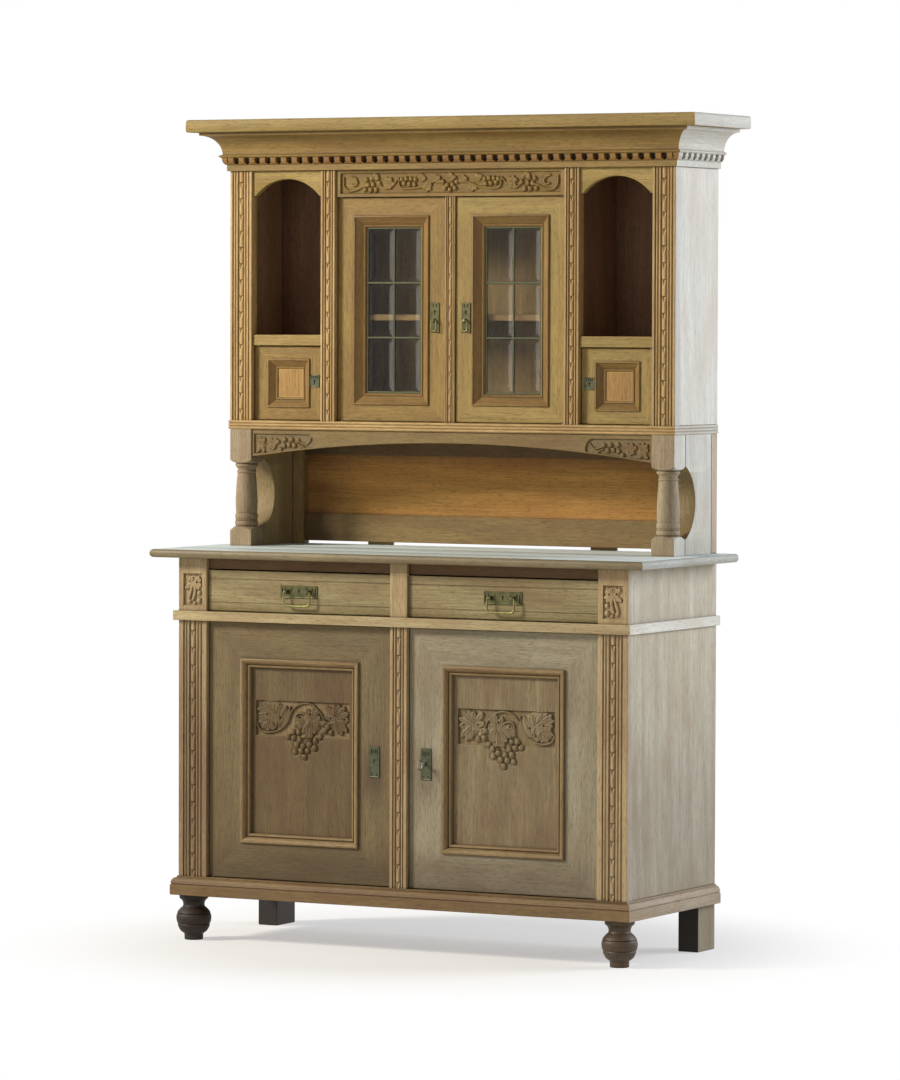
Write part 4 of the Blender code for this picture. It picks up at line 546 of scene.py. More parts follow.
for word, side in sides:
    # painted light: the side boards take the pale lit finish
    board("base_side_" + word, [wood("sideBoardLit", "z", sideLowShade)])
board("base_back", [wood("limed", "z")])
board("base_floor", [wood("bare", "x")])
board("base_shelf", [wood("bare", "x")])
# painted shade: the top rail takes the dark shaded finish
board("top_rail", [wood("railShaded", "x")], 0.0010)

# fluted stiles: flat edges, grooves and beads by turns as (width, depth) in mm from the outside in, and a string
# of links down the middle, link mm wide
stileLook = {
    "corner": {"width": 0.084, "flutes": [(2.4, 3.2), (7.0, 3.4), (2.4, 3.2), (7.0, 3.4), (2.2, 4.4)],
               "link": 14.0, "pitch": 44.5},
    "centre": {"width": 0.049, "flutes": [(2.2, 3.0), (5.4, 2.8), (2.2, 4.0)], "link": 12.0, "pitch": 44.5},
    "outer": {"width": 0.065, "flutes": [(2.2, 3.2), (6.4, 3.2), (2.2, 3.2), (6.0, 3.0), (2.0, 4.2)],
              "link": 13.0, "pitch": 42.5},
    "inner": {"width": 0.042, "flutes": [(2.2, 3.0), (5.0, 2.6), (2.0, 4.0)], "link": 12.0, "pitch": 42.5},
    "post": {"width": 0.028, "flutes": [(1.8, 2.6), (3.6, 2.0), (1.6, 3.4)], "link": 9.0, "pitch": 42.5}}


# depth behind the face in mm at u mm from the middle and v mm down from the top of the string
def stileDepth(u, v, look):
    a, half, pitch = np.abs(u), look["link"] / 2, look["pitch"]
    depth = np.zeros(u.shape)
    place = half + sum(width for width, deep in look["flutes"])
    for i, (width, deep) in enumerate(look["flutes"]):
        t = np.clip((place - a) / width, 0, 1)
        bead = 0.45 * width * np.sin(math.pi * t) ** 0.8 if i % 2 else 0
        depth = np.where((a <= place) & (a > place - width), deep - bead, depth)
        place -= width
    s = np.mod(v + 0.3 * pitch, pitch) / pitch     # the string runs through from end to end
    tip = np.sqrt(np.clip(1 - (np.clip(s - 0.92, 0, 1) / 0.075) ** 2, 0, 1))     # round lower end
    link = half * np.sqrt(np.clip(1 - (a / np.maximum(half * tip, 0.01)) ** 2, 0, 1))
    gouge = 0.95 * a + half * np.clip(s / 0.40, 0, 2) ** 1.6     # a V cut at each link's head, running out below
    raised = 0.8 * half + 0.3 - 0.8 * np.minimum(link, gouge)
    return np.where(a < half, np.clip(raised, 0.3, deep + 1.2), depth)


blockSpray = {     # leaf over hanging pods and berries, mm from the middle of the sunk field on a corner stile's block
    "leaves": [((0, 17), [(-20, 34), (-9, 36), (1, 36), (9, 36), (20, 34), (24, 26), (-24, 2), (-12, 4), (26, 10),
                          (19, 1)], 6.6)], "leafRise": 5.6,
    "stems": [[(-1, 13), (-5, 2), (-8, -7), (-11, -16), (-13, -25)], [(2, 14), (5, 4), (5, -6), (3, -17), (-1, -26)]],
    "stem": (4.9, 5.4), "grapes": [(18, -9, 6.8), (17.5, -28, 8.0), (3.6, -35, 5.2), (-11, -30, 6.4)],
    "eyes": [(-9, 20.5), (11.5, 18.7), (1.5, 31)], "eye": 1.9, "field": (28.4, 41.4), "ground": 5.6}


# the stile's front from the box's foot up to top; above block it is plain, but for a corner stile's carved field
def stileSlab(node, kind, front, rear=None, top=None, block=None, ends=(0, 0), ease=0.0011):
    look = stileLook[kind]
    low, high = boxOf(node)
    middle, half, top = (low[0] + high[0]) / 2, look["width"] / 2, top or high[2]
    xLine = np.unique(np.concatenate([np.arange(-half, half, 0.0008), [half, -half + 0.001, half - 0.001]]))
    zLine = np.linspace(low[2], top, int((top - low[2]) / 0.0014))
    u, z = np.meshgrid(xLine, zLine, indexing="ij")
    depth = stileDepth(u * 1000, ((block or top) - z) * 1000, look)
    if block:
        depth = np.where(z > block, 0, depth)
    if kind == "corner":
        b, fieldZ = blockSpray, (lines["waistTop"] + lines["drawerTop"]) / 2
        x, w = u * 1000 * (-1 if middle > 0 else 1), (z - fieldZ) * 1000
        sunk = math.prod(smoothStep(far, far - 1, np.abs(q)) for far, q in zip(b["field"], (x, w)))
        depth = depth + sunk * np.maximum(b["ground"] - carving(x, w, b), -0.8)
    edge = np.maximum(0, np.abs(u) - (half - ease)) / ease     # eased arris
    return reliefSlab(middle + u, front + depth / 1000 + 0.0009 * edge ** 2, z, rear or high[1], 0, *ends)


block = lines["waistLow"] + 0.004
for word, side in sides:     # painted light: the outer end face gets the side boards' pale lit finish
    node = "corner_stile_" + word
    makePiece(node + "_carved", stileSlab(node, "corner", baseFront, block=block, ends=(side < 0, side > 0)),
              [wood("rail", "z", stileMarks), wood("sideBoardLit", "z", sideLowShade)], nodes=[node], angle=50)
plain = [(-0.0245, 0.0245), (baseFront, baseFront + 0.0117), (lines["drawerTop"] - 0.001, boxOf("centre_stile")[1][2])]
makePiece("centre_stile_carved", stileSlab("centre_stile", "centre", baseFront, None, lines["drawerTop"], block)
          + boxes([plain]), [wood("rail", "z")], nodes=["centre_stile"], angle=50)
print("base stiles done")

# waist rail: eased band on three sides, with the rails, drawer guides and bearer behind it
waistLook = {"band": [(0.3, 0), (9.5, 0), (10.6, 0.8), (11, 2), (11, 23), (10.6, 24.2), (9.5, 25), (0.3, 25)],     # mm
             "rail": (0.0248, 0.5657), "guide": (0.5642, 0.5842), "middle": 0.0242, "bearer": 0.6297}
w = waistLook
w0, w1 = lines["waistLow"], lines["waistTop"]
guide = (baseFront + 0.051, 0.2465), (w1 - 0.009, w1 + 0.030), 2
rows = []
for word, side in sides:
    rows += [(np.multiply(side, w["rail"]), (baseFront - 0.005, baseFront + 0.040), (w0 + 0.001, w1 - 0.001)),
             (np.multiply(side, w["guide"]), *guide)]
rows += [((-w["middle"], w["middle"]), *guide),
         ((-w["bearer"], w["bearer"]), (baseFront + 0.0303, 0.2662), (w1 - 0.018, w1), 2)]
# painted light: the band's ends take the pale lit finish
makePiece("waist_band", wrapSweep(np.array(w["band"]) * mm + (0, w0), baseFront) + boxes(rows),
          [wood("waist", "x"), wood("waistSideLit", "y"), wood("bare", "x")], nodes=["waist_rail"])

# counter: three glued boards with a round nose on the front and both ends
counterLook = {"half": 0.712, "front": -0.2785, "nose": 0.8, "joints": (-0.10, 0.085), "groove": 0.0007, "wide": 0.0012}
c = counterLook
thick = (lines["counterTop"] - lines["counterLow"]) / 2
inset = thick * c["nose"]
turn = np.linspace(-quarter, quarter, 13)
levels = np.stack([inset * (1 - np.cos(turn)), lines["counterLow"] + thick * (1 + np.sin(turn))], -1)
yLine = np.unique([c["front"] + inset, back] + [j + e for j in c["joints"] for e in (-c["wide"], 0, c["wide"])])
z = lines["counterTop"] - np.where(np.isin(yLine, c["joints"]), c["groove"], 0)
top = patch([grid(s * (c["half"] - inset), yLine, z) for s in (-1, 1)], 2)
# painted reflection on the top and painted light on the ends, through their pale finishes
makePiece("counter_boards", stackedSlab(levels, c["half"], c["front"])[:-1] + [top],
          [wood("counter", "x"), wood("counterEndLit", "y"), wood("counterTop", "x")], nodes=["counter"])
print("base carcass done")


# four mitred members of a door frame: rings of (where, inset, depth) from the outer edge over the moulding to
# the back, where is 0 for the door's own edge and 1 for the moulding's outer edge; stiles in slot 0, rails in 1,
# and their mouldings, count rings from the sixth on, in 3 and 4
def mitredFrame(edges, inner, face, rings, count):
    where, inset, depth = np.asarray(rings, float).T
    order = np.arange(len(rings))
    trim = np.where((order > 4) & (order < 4 + count), 3, 0)
    corners = []
    for hx, hz in ((0, 0), (1, 0), (1, 1), (0, 1)):
        x = np.where(where == 0, edges[hx], inner[hx]) + (1 - 2 * hx) * inset
        z = np.where(where == 0, edges[2 + hz], inner[2 + hz]) + (1 - 2 * hz) * inset
        corners.append(grid(x, face + depth, z))
    return [patch(np.stack([corners[i], corners[(i + 1) % 4]]), trim + (i % 2 == 0), True) for i in range(4)]


# rings of a frame with eased edges; moulding in mm as (in from its outer edge, above the face); with a lip the
# frame is rebated for a loose panel or glazing
def frameRings(look, soft=0.0012, near=0.0007):
    m, rear = np.array(look["moulding"]) * mm, look["thickness"]
    rings = [(0, 0, soft), (0, soft * 0.3, soft * 0.3), (0, soft, 0), (0, soft + near, 0), (1, -near, 0)]
    rings += [(1, a, -b) for a, b in m]
    if "lip" in look:
        lip = m[-1, 0] - look["lip"]
        rings += [(1, lip, look["rebate"]), (1, lip, rear), (1, lip - near, rear), (0, soft + near, rear)]
    else:
        rings += [(1, m[-1, 0] + 0.002, -m[-1, 1]), (1, m[-1, 0] - 0.004, rear)]
    return rings + [(0, soft, rear), (0, 0, rear - soft)]


# frame of a door with its pivot pins in slot 2, and the moulding's outer edges
def framedDoor(side, look, face, z0, z1, pin=0.0025):
    x0, x1 = sorted(side * x for x in look["x"])
    inner = (x0 + look["stile"], x1 - look["stile"], z0 + look["rails"][0], z1 - look["rails"][1])
    members = mitredFrame((x0, x1, z0, z1), inner, face, frameRings(look), len(look["moulding"]))
    for e in (z0 - 0.008, z1 - 0.001):
        members += turnedPiece([pin] * 2, [e, e + 0.009], side * (look["x"][1] - 0.010), face + 0.004, None, 16, 2)
    return members, inner


baseDoorLook = {
    "x": (0.026, 0.5645), "stile": 0.095, "rails": (0.092, 0.092), "thickness": 0.026, "rebate": 0.0147, "lip": 0.008,
    "moulding": [(0, 0), (0, 4.4), (0.6, 6.1), (2.0, 7.3), (4.0, 7.7), (6.4, 7.1), (9.0, 5.6), (11.4, 3.4), (13.4, 1.0),
                 (14.9, -1.4), (15.7, -3.6), (15.9, -4.8), (16.6, -4.9), (17.1, -3.8), (18.5, -2.8), (20.3, -2.9),
                 (22.0, -4.0), (23.3, -5.7), (24.2, -7.9), (24.5, -10.2), (24.5, -14.7)],
    "face": baseFront + 0.013, "bandTop": 0.632, "bandFoot": 0.158}     # the carved band's upper edge and reach below it
vine = {     # the right base door's, in mm from the middle of the band's upper edge; the left door has its mirror image
    "leaves": [((-95, -41), [(-124, -10), (-108, -4), (-93, -6), (-67, -9), (-136, -25), (-136, -44), (-131, -73),
                             (-116, -82), (-103, -78), (-62, -37)], 9.025),
               ((-26, -46), [(-47, -19), (-34, -11), (-10, -19), (-52, -40), (-47, -62), (-36, -82), (-22, -101),
                             (-6, -100), (3, -81)], 8.55),
               ((-1, -51), [(17, -41), (25, -50), (27, -64), (12, -71)], 6.65),
               ((70, -58), [(49, -13), (66, -9), (58, -40)], 8.55),
               ((80, -40), [(72, -8), (86, -7), (101, -6), (116, -4), (130, -8), (137, -22), (133, -36)], 7.6),
               ((98, -50), [(88, -76), (103, -79), (120, -74), (134, -58), (128, -44)], 7.41)], "leafRise": 6.4,
    "stems": [[(-33, -10), (-13, -4), (8, -7), (24, -16), (36, -30), (44, -51), (56, -66), (70, -75), (88, -81),
               (109, -83), (128, -76), (137, -58)],
              [(-96, -50), (-76, -54), (-62, -46), (-55, -32), (-36, -14)],
              [(128, -18), (108, -25), (92, -33), (80, -44), (77, -58), (86, -74)],
              [(38, -16), (42, -34), (49, -52), (60, -68)],
              [(-17, -47), (-10, -36), (4, -30), (18, -33), (21, -43), (14, -46)]], "stem": (3.3, 5.8),
    "grapes": [(x, z, 9.0 * (0.95 + 0.05 * math.sin(i * 2.3))) for i, (x, z) in enumerate([
        (-60, -55), (-72, -63), (-82, -77), (-64, -73), (-51, -89), (-38, -99), (-36, -118), (-22, -109), (-15, -126),
        (-6, -142), (-2, -114), (4, -127), (17, -112), (22, -130), (9, -99), (26, -94), (14, -80), (30, -80),
        (43, -93)])],
    "eyes": [(-81, -40), (-122, -42), (-22, -32), (9, -41), (66, -43), (106, -36)], "eye": 2.2,
    "band": (138, 88), "ground": 6.2}


# height over the panel's face in mm: the band's ground is sunk, and so is the ground close round the grapes
def vineHeight(x, z):
    wide, tall = vine["band"]
    band = smoothStep(wide, wide - 1.2, np.abs(x)) * smoothStep(0, -1.0, z) * smoothStep(-tall - 5, -tall + 1, z)
    near = np.min([np.hypot(x - cx, z - cz) for cx, cz, r in vine["grapes"]], 0)
    ground = np.maximum(vine["ground"] * band, 2.0 * smoothStep(14, 9, near))
    h = carving(x, z, vine)
    return np.where(ground > 0.02, h, 0) - ground, (h < 1.0) & (ground > 1.0)


for word, side in sides:
    d, name = baseDoorLook, "base_door_" + word
    members, inner = framedDoor(side, d, d["face"], lines["plinthTop"] + 0.002, lines["waistLow"] - 0.002)
    finish = "worn" if side < 0 else "greyed"     # painted light: the right door takes a paler, greyer finish than the left
    makePiece(name + "_members", members, [wood(finish, "z", handMarks + bottomRailShade), wood(finish, "x", bottomRailShade),
                                           steel, wood("trim", "z"), wood("trim", "x")], name, [name + "_frame"])
    low, high = boxOf(name + "_panel")
    top, foot = d["bandTop"], d["bandTop"] - d["bandFoot"]
    zLine = np.concatenate([np.linspace(low[2], foot, 40)[:-1], np.arange(foot, top + 0.003, 0.00105),
                            np.linspace(top + 0.004, high[2], 16)])
    x, z = np.meshgrid(np.linspace(low[0], high[0], 300), zLine, indexing="ij")
    h, sunk = vineHeight(side * (x - (low[0] + high[0]) / 2) * 1000, (z - top) * 1000)
    makePiece(name + "_carved_panel", reliefSlab(x, low[1] - h / 1000, z, high[1], allFour(sunk)),
              [wood(finish + "Panel", "z"), wood("ground", "z")], name, [name + "_panel"], angle=60)
print("base doors done")

# drawers: the front's section with two scratched lines, carried across, and a plain tray behind it
drawerLook = {"x": (0.026, 0.5645), "lineInset": 0.022, "lineDeep": 0.0014, "lineWide": 0.0026, "soft": 0.0014,
              "face": baseFront + 0.009, "thick": 0.022, "long": 0.440, "tall": 0.085, "side": 0.012, "bottom": 0.008}
for word, side in sides:
    d, name = drawerLook, "drawer_" + word
    x0, x1 = sorted(side * x for x in d["x"])
    z0, z1 = lines["waistTop"] + 0.002, lines["drawerTop"] - 0.0032
    face, s, wide, deep = d["face"], d["soft"], d["lineWide"], d["face"] + d["lineDeep"]
    section = [(face + d["thick"], z0), (face + s, z0), (face + s * 0.3, z0 + s * 0.3), (face, z0 + s)]
    for mid in (z0 + d["lineInset"], z1 - d["lineInset"]):
        section += [(face, mid - wide / 2), (deep, mid - wide / 5), (deep, mid + wide / 5), (face, mid + wide / 2)]
    section += [(face, z1 - s), (face + s * 0.3, z1 - s * 0.3), (face + s, z1), (face + d["thick"], z1)]
    front = tube([grid(x, *np.transpose(section)) for x in (x0, x1)])
    run, end, a, b = lines["waistTop"] + 0.0003, face + d["long"], x0 + 0.002, x1 - 0.002
    along, up = (face + 0.020, end), (run, run + d["tall"])
    tray = boxes([((a, a + d["side"]), along, up, 1), ((b - d["side"], b), along, up, 1),
                  ((a + 0.011, b - 0.011), (end - d["side"], end), up, 1),
                  ((a + 0.010, b - 0.010), (face + 0.021, end - 0.010), (run, run + d["bottom"]), 1)])
    makePiece(name + "_front", [front] + tray, [wood("drawer", "x"), wood("bare", "y")], name, [name + "_box"])
print("drawers done")

# balusters: square blocks at both ends, and between them a radius in mm for each thousandth of the way down; into
# the blocks the radius grows in mm from the head's lower end and the foot's upper one
balusterLook = {
    "size": 0.065, "foot": 0.050, "head": 0.089, "rows": 340, "around": 128, "corner": 50,
    "turning": [(0, 28.8), (10, 27.6), (20, 29.2), (36, 30.4), (50, 29.7), (60, 27.8), (80, 25), (106, 23.3), (120, 23.6),
                (126, 25.4), (140, 26.1), (154, 25.4), (160, 23.8), (168, 24), (177, 24.5), (262, 26), (404, 27.7),
                (546, 28.8), (660, 29.1), (773, 28.2), (790, 27.4), (797, 28.6), (812, 29.9), (840, 30.3), (868, 29.9),
                (882, 28.8), (887, 28.3), (893, 29.6), (902, 29.6), (908, 28.3), (915, 29.8), (935, 30.6), (965, 30.6),
                (980, 29.8), (989, 28.2), (1000, 28.4)],
    "above": [(11.5, 50), (9.7, 46.2), (6, 42), (3, 37.2), (0.8, 31.8), (0.2, 29.2)],
    "below": [(-0.3, 31.8), (-5.5, 39.2), (-11, 46.2), (-12.5, 50)]}
b = balusterLook
z0, z1 = lines["counterTop"] + 0.0003, lines["galleryTop"] - 0.0003
footTop, headLow = z0 + b["foot"], z1 - b["head"]
(t, r), (above, wideAbove), (below, wideBelow) = [np.transpose(b[key]) for key in ("turning", "above", "below")]
height = np.concatenate([[z1], headLow + above * mm, headLow - t * mm * (headLow - footTop), footTop + below * mm, [z0]])
radius = np.concatenate([[b["corner"]], wideAbove, r, wideBelow, [b["corner"]]]) * mm
height, radius = finer(height, b["rows"]), finer(radius, b["rows"])
inBlock = ((height > headLow + 0.001) | (height < footTop - 0.001))[:-1, None]
across = np.cos((np.arange(b["around"]) + 0.5) * 2 * math.pi / b["around"])
for word, side in sides:
    turned = turnedPiece(radius, height, *sum(boxOf("baluster_" + word))[:2] / 2, b["size"] / 2, b["around"])
    turned[0]["slot"] = np.where((side * across > 0.71) & inBlock, 1, 0)     # outer faces of the square blocks, which take the pale lit finish: painted window light
    makePiece("turned_baluster_" + word, turned, [wood("baluster", "z"), wood("sideLit", "z")],
              nodes=["baluster_" + word])

# side brackets: the front edge is a circle's arc cut into the board
bracketLook = {"radius": 0.104, "deep": 0.058, "soft": 0.0012}
k = bracketLook
s, flat = k["soft"], k["radius"] - k["deep"]
middle, half = (footTop + headLow) / 2, math.sqrt(k["radius"] ** 2 - flat ** 2)
bend = np.sin(np.linspace(-quarter, quarter, 61)) * half
for word, side in sides:
    low, high = boxOf("side_bracket_" + word)
    zLine = np.concatenate([[low[2], low[2] + 0.001], middle + bend, [high[2] - 0.001, high[2]]])
    cut = np.sqrt(np.maximum(0, k["radius"] ** 2 - (zLine - middle) ** 2)) - flat
    edge = low[1] + np.where(np.abs(zLine - middle) <= half + 1e-9, np.maximum(0, cut), 0)
    ring = [(low[0], edge + s), (low[0] + s * 0.3, edge + s * 0.3), (low[0] + s, edge), (high[0] - s, edge),
            (high[0] - s * 0.3, edge + s * 0.3), (high[0], edge + s), (high[0], high[1]), (low[0], high[1])]
    slots = np.ones(8, int)
    slots[5 if side > 0 else 7] = 0     # painted light: the outer face takes the pale lit finish, the rest does not
    makePiece("side_bracket_board_" + word,
              [tube(np.stack([grid(x, y, zLine) for x, y in ring], 1), np.tile(slots, len(zLine) - 1))],
              [wood("sideLit", "z"), wood("limed", "z")], nodes=["side_bracket_" + word])

# framed back of the serving space: stiles, rails, panel and the blocks under the lower rail
galleryLook = {"stile": (0.552, 0.650), "rail": 0.554, "panel": 0.560, "block": (0.330, 0.0375)}
g = galleryLook
c0, g1 = lines["counterTop"], lines["galleryTop"]
at, wide = g["block"]
rails = (-g["rail"], g["rail"]), (back - 0.022, back - 0.0005)
# painted light: the stiles' outer ends take the pale lit finish
stiles = [(np.multiply(side, g["stile"]), (back - 0.033, back), (c0 + 0.0003, g1 - 0.0003), 1, {(0, int(side > 0)): 3})
          for word, side in sides]
blocks = [((side * at - wide, side * at + wide), (back - 0.010, back - 0.001), (c0 + 0.0003, c0 + 0.018))
          for word, side in sides]
panel = (-g["panel"], g["panel"]), (back - 0.010, back - 0.001), (c0 + 0.060, g1 - 0.050), 2, {(1, 1): 0}
gallery = boxes(stiles + [(*rails, (c0 + 0.008, c0 + 0.080)), (*rails, (g1 - 0.070, g1 - 0.0008))], 0.0013)
makePiece("gallery_frame", gallery + boxes(blocks + [panel]),
          [wood("arch", "x", galleryShadow), wood("arch", "z"), wood("amber", "x", galleryShadow), wood("plinthSideLit", "z")],
          nodes=["gallery_back"])

# apron: a low arch with a carved field at each end
apronLook = {"field": 0.4885, "fieldZ": 1.288, "end": 0.0716, "rise": 0.042, "ground": 4.6, "ease": 0.0012}
apronSpray = {     # mm from the middle of the field, inner end to the left
    "leaves": [((67, -4), [(58, 15), (72, 17), (84, 12), (86, 0), (84, -24), (74, -14), (60, -22)], 6.0),
               ((34, -2), [(14, 8), (22, 14), (41, 15), (53, 6), (46, -11), (34, -16), (27, -10)], 6.4)],
    "stems": [[(-80, 14), (-75, 6), (-68, 0), (-60, 0), (-44, 6)], [(-61, -10), (-53, -5), (-43, -1)]],
    "grapes": [(x, z, 7.2) for x, z in [(-41, 9.3), (-22, 11), (-1, 11), (-30, -3.6), (-14, -2.5), (1, -5), (12, -14.7)]],
    "leafRise": 4.8, "stem": (2.6, 4.0)}
a = apronLook
low, high = boxOf("apron")
span, rise = high[0], a["rise"]
bigR = (span ** 2 + rise ** 2) / (2 * rise)
xLine = np.unique(np.concatenate([np.linspace(-span, span, 160), *[s * np.arange(0.39, 0.584, 0.0011) for s in (-1, 1)]]))
x, v = np.meshgrid(xLine, np.linspace(0, 1, 60), indexing="ij")
zLow = g1 - a["end"] + rise - (bigR - np.sqrt(bigR ** 2 - x ** 2))
z = zLow + v * (high[2] - zLow)
u, w = (np.abs(x) - a["field"]) * 1000, (z - a["fieldZ"]) * 1000
sunk = smoothStep(90.5, 89.3, u) * smoothStep(26, 24.8, np.abs(w))     # the field's inner end is round
sunk *= smoothStep(27, 25, np.hypot(np.minimum(u + 66, 0), w)) * smoothStep(2.0, 4.5, (z - zLow) * 1000)
spray = carving(u, w, apronSpray)
ease = 0.0008 * (np.maximum(0, a["ease"] - (z - zLow)) / a["ease"]) ** 2
y = low[1] + sunk * np.maximum(a["ground"] - spray, -0.8) / 1000 + ease
makePiece("apron_carved", reliefSlab(x, y, z, high[1], allFour((spray < 0.8) & (sunk > 0.3))),
          [wood("arch", "x"), wood("ground", "x")], nodes=["apron"], angle=55)
print("serving space done")

# upper floor: three round reeds on its edge
reedLook = {"out": 0.0034, "count": 3}
t = np.linspace(0.02, 0.98, 9)
one = (lines["upperLow"] - g1) / reedLook["count"]
levels = [(-reedLook["out"] * (0.15 + 0.85 * math.sin(math.pi * k)), g1 + one * (i + k))
          for i in range(reedLook["count"]) for k in t]
# painted light: the floor's ends take the pale lit finish
makePiece("upper_floor_reeded",
          stackedSlab([(0, g1)] + levels + [(0, lines["upperLow"])], lines["half"], upperFront),
          [wood("goldenStile", "x"), wood("sideLit", "y")], nodes=["upper_floor"])

partitionLook = {"x": 0.356, "half": 0.009, "stile": 0.028}
for word, side in sides:
    # painted light: the side board takes the pale lit finish, its inner face the niche one
    board("upper_side_" + word, [wood("sideLit", "z"), wood("nicheSide", "z")], ends={(0, int(side < 0)): 1})
    node = "outer_stile_" + word
    # painted light: the stile's outer end takes the pale lit finish
    makePiece(node + "_carved", stileSlab(node, "outer", upperFront, ends=(side < 0, side > 0)),
              [wood("goldenStile", "z"), wood("sideLit", "z")], nodes=[node], angle=50)
    node, p = "partition_" + word, partitionLook
    low, high = boxOf(node)
    x = side * p["x"]
    wall = (x - p["half"], x + p["half"]), (upperFront + 0.022, high[1]), (low[2], high[2]), 1
    makePiece(node + "_carved", stileSlab(node, "inner", upperFront, upperFront + p["stile"]) + boxes([wall]),
              [wood("goldenStile", "z"), wood("niche", "z")], nodes=[node], angle=50)
makePiece("centre_post_carved", stileSlab("centre_post", "post", upperFront + 0.010), [wood("goldenStile", "z")],
          nodes=["centre_post"], angle=50)
low, high = boxOf("upper_back")
edges = [low[0], -0.3653, -0.122, 0.122, 0.3653, high[0]]     # five boards, the three behind the glass less dark
boards = boxes([((edges[i], edges[i + 1]), (low[1], high[1]), (low[2], high[2]), int(0 < i < 4), {(1, 1): 2})
                for i in range(5)], 0.0012)
makePiece("upper_back_boards", boards, [wood("niche", "z"), wood("lining", "z"), wood("limed", "z")],
          nodes=["upper_back"])
board("upper_shelf", [wood("shelf", "x")], 0.0015)

# niches: a floor in two steps of width, and a board over it with a circle's arc between two shoulders
nicheLook = {"front": (0.3773, 0.5847), "rear": (0.3653, 0.6297), "rise": 0.044, "shoulder": 0.008, "spring": 1.937}
for word, side in sides:
    n, node = nicheLook, "niche_floor_" + word
    low, high = boxOf(node)
    makePiece("niche_floor_board_" + word,
              boxes([(np.multiply(side, n["front"]), (low[1], upperFront + 0.034), (low[2], high[2]))], 0.0016)
              + boxes([(np.multiply(side, n["rear"]), (upperFront + 0.0283, high[1]), (low[2], high[2]))]),
              [wood("golden", "x")], nodes=[node])
    node = "niche_arch_" + word
    low, high = boxOf(node)
    middle, half = (low[0] + high[0]) / 2, (high[0] - low[0]) / 2 - n["shoulder"]
    bigR = (half ** 2 + n["rise"] ** 2) / (2 * n["rise"])
    bend = half * np.sin(np.linspace(-quarter, quarter, 61))
    xLine = middle + np.concatenate([[low[0] - middle, -half - 0.0001], bend, [half + 0.0001, high[0] - middle]])
    arc = np.sqrt(np.maximum(0, bigR ** 2 - (xLine - middle) ** 2)) - (bigR - n["rise"])
    z = n["spring"] + np.where(np.abs(xLine - middle) <= half, arc, 0)[:, None] + np.array([0, 0.0006, 0.002, 0])
    z[:, -1] = high[2]
    makePiece("niche_arch_board_" + word,
              reliefSlab(xLine[:, None], low[1] + np.array([0.0012, 0.0004, 0, 0]), z, high[1]),
              [wood("golden", "x")], nodes=[node])
print("upper carcass done")

# frieze: vine with grapes and leaves, mirrored about the middle, in mm from the middle of the board
friezeVine = {
    "stems": [[(-313, 15), (-312, -6), (-298, -19), (-276, -17), (-254, -8), (-236, -4)],
              [(-290, 17), (-277, 12), (-273, 2), (-279, -6), (-288, -4)],
              [(-206, -4), (-190, -14), (-170, -8), (-152, 12)],
              [(-150, 12), (-147, -8), (-134, -15), (-112, -14), (-84, -11), (-62, -2), (-36, 6)]],
    "leaves": [((-181, 0), [(-196, 8), (-186, 16), (-171, 14), (-164, -1), (-174, -15), (-192, -13)], 6.4),
               ((-82, 7), [(-95, 18), (-81, 23), (-70, 14)], 4.8),
               ((-66, -5), [(-79, -17), (-66, -23), (-55, -18), (-52, -6)], 5.4),
               ((-39, 4), [(-51, 13), (-41, 20), (-28, 17), (-25, 4)], 5.4),
               ((-221, 13), [(-233, 21), (-220, 25), (-209, 21)], 4.6),
               ((0, 7), [(-18, 16), (-8, 23), (8, 23), (18, 16)], 5.8)],
    "grapes": [(x, z, 7.0) for x, z in [
        (-246, 9), (-230, 11), (-213, 13), (-241, -4), (-226, -3), (-208, 0), (-250, -16), (-233, -17), (-217, -17),
        (-141, 9), (-128, 11), (-114, 11), (-101, 9), (-134, -1), (-119, -3), (-104, -4), (-20, 2), (-8, -6), (-15, -14),
        (0, -18)]],
    "leafRise": 5.0, "stem": (2.9, 4.8), "field": (322, 27), "ground": 5.2}
v = friezeVine
low, high = boxOf("frieze_panel")
x, z = np.meshgrid(np.linspace(low[0], high[0], 640), np.linspace(low[2], high[2], 68), indexing="ij")
u, w = -np.abs(x * 1000), (z - (low[2] + high[2]) / 2) * 1000
sunk = math.prod(smoothStep(far, far - 1.4, np.abs(q)) for far, q in zip(v["field"], (u, w)))
h = carving(u, w, v)
makePiece("frieze_carved",
          reliefSlab(x, low[1] - sunk * (h - v["ground"]) / 1000, z, high[1], allFour((h < 0.8) & (sunk > 0.3))),
          [wood("crown", "x"), wood("goldenGround", "x")], nodes=["frieze_panel"], angle=60)

# cornice: band, ovolo with pointed notches, bead, cove and fillet as (height, out), then the board on top
corniceLook = {"wall": 0.022, "band": (0.016, 0.0065), "ovolo": (0.018, 0.0165), "bead": (0.009, 0.023),
               "coveIn": 0.015, "coveOut": 0.058, "fillet": (0.008, 0.060), "pitch": 0.032, "notch": 0.0145,
               "deep": 0.0120, "steps": 917}     # 22 steps to a notch's pitch
k = corniceLook
(bandHigh, bandOut), (ovoloHigh, ovoloOut), (beadHigh, beadOut), (filletHigh, filletOut) = [
    k[key] for key in ("band", "ovolo", "bead", "fillet")]
z0, z1 = lines["upperTop"], lines["slabLow"] - 0.0003
bandTop = z0 + bandHigh
ovoloTop = bandTop + ovoloHigh
beadTop, coveTop = ovoloTop + beadHigh, z1 - filletHigh
t = np.linspace(0, 1, 12)
c, s = 1 - np.cos(quarter * t), np.sin(quarter * t)
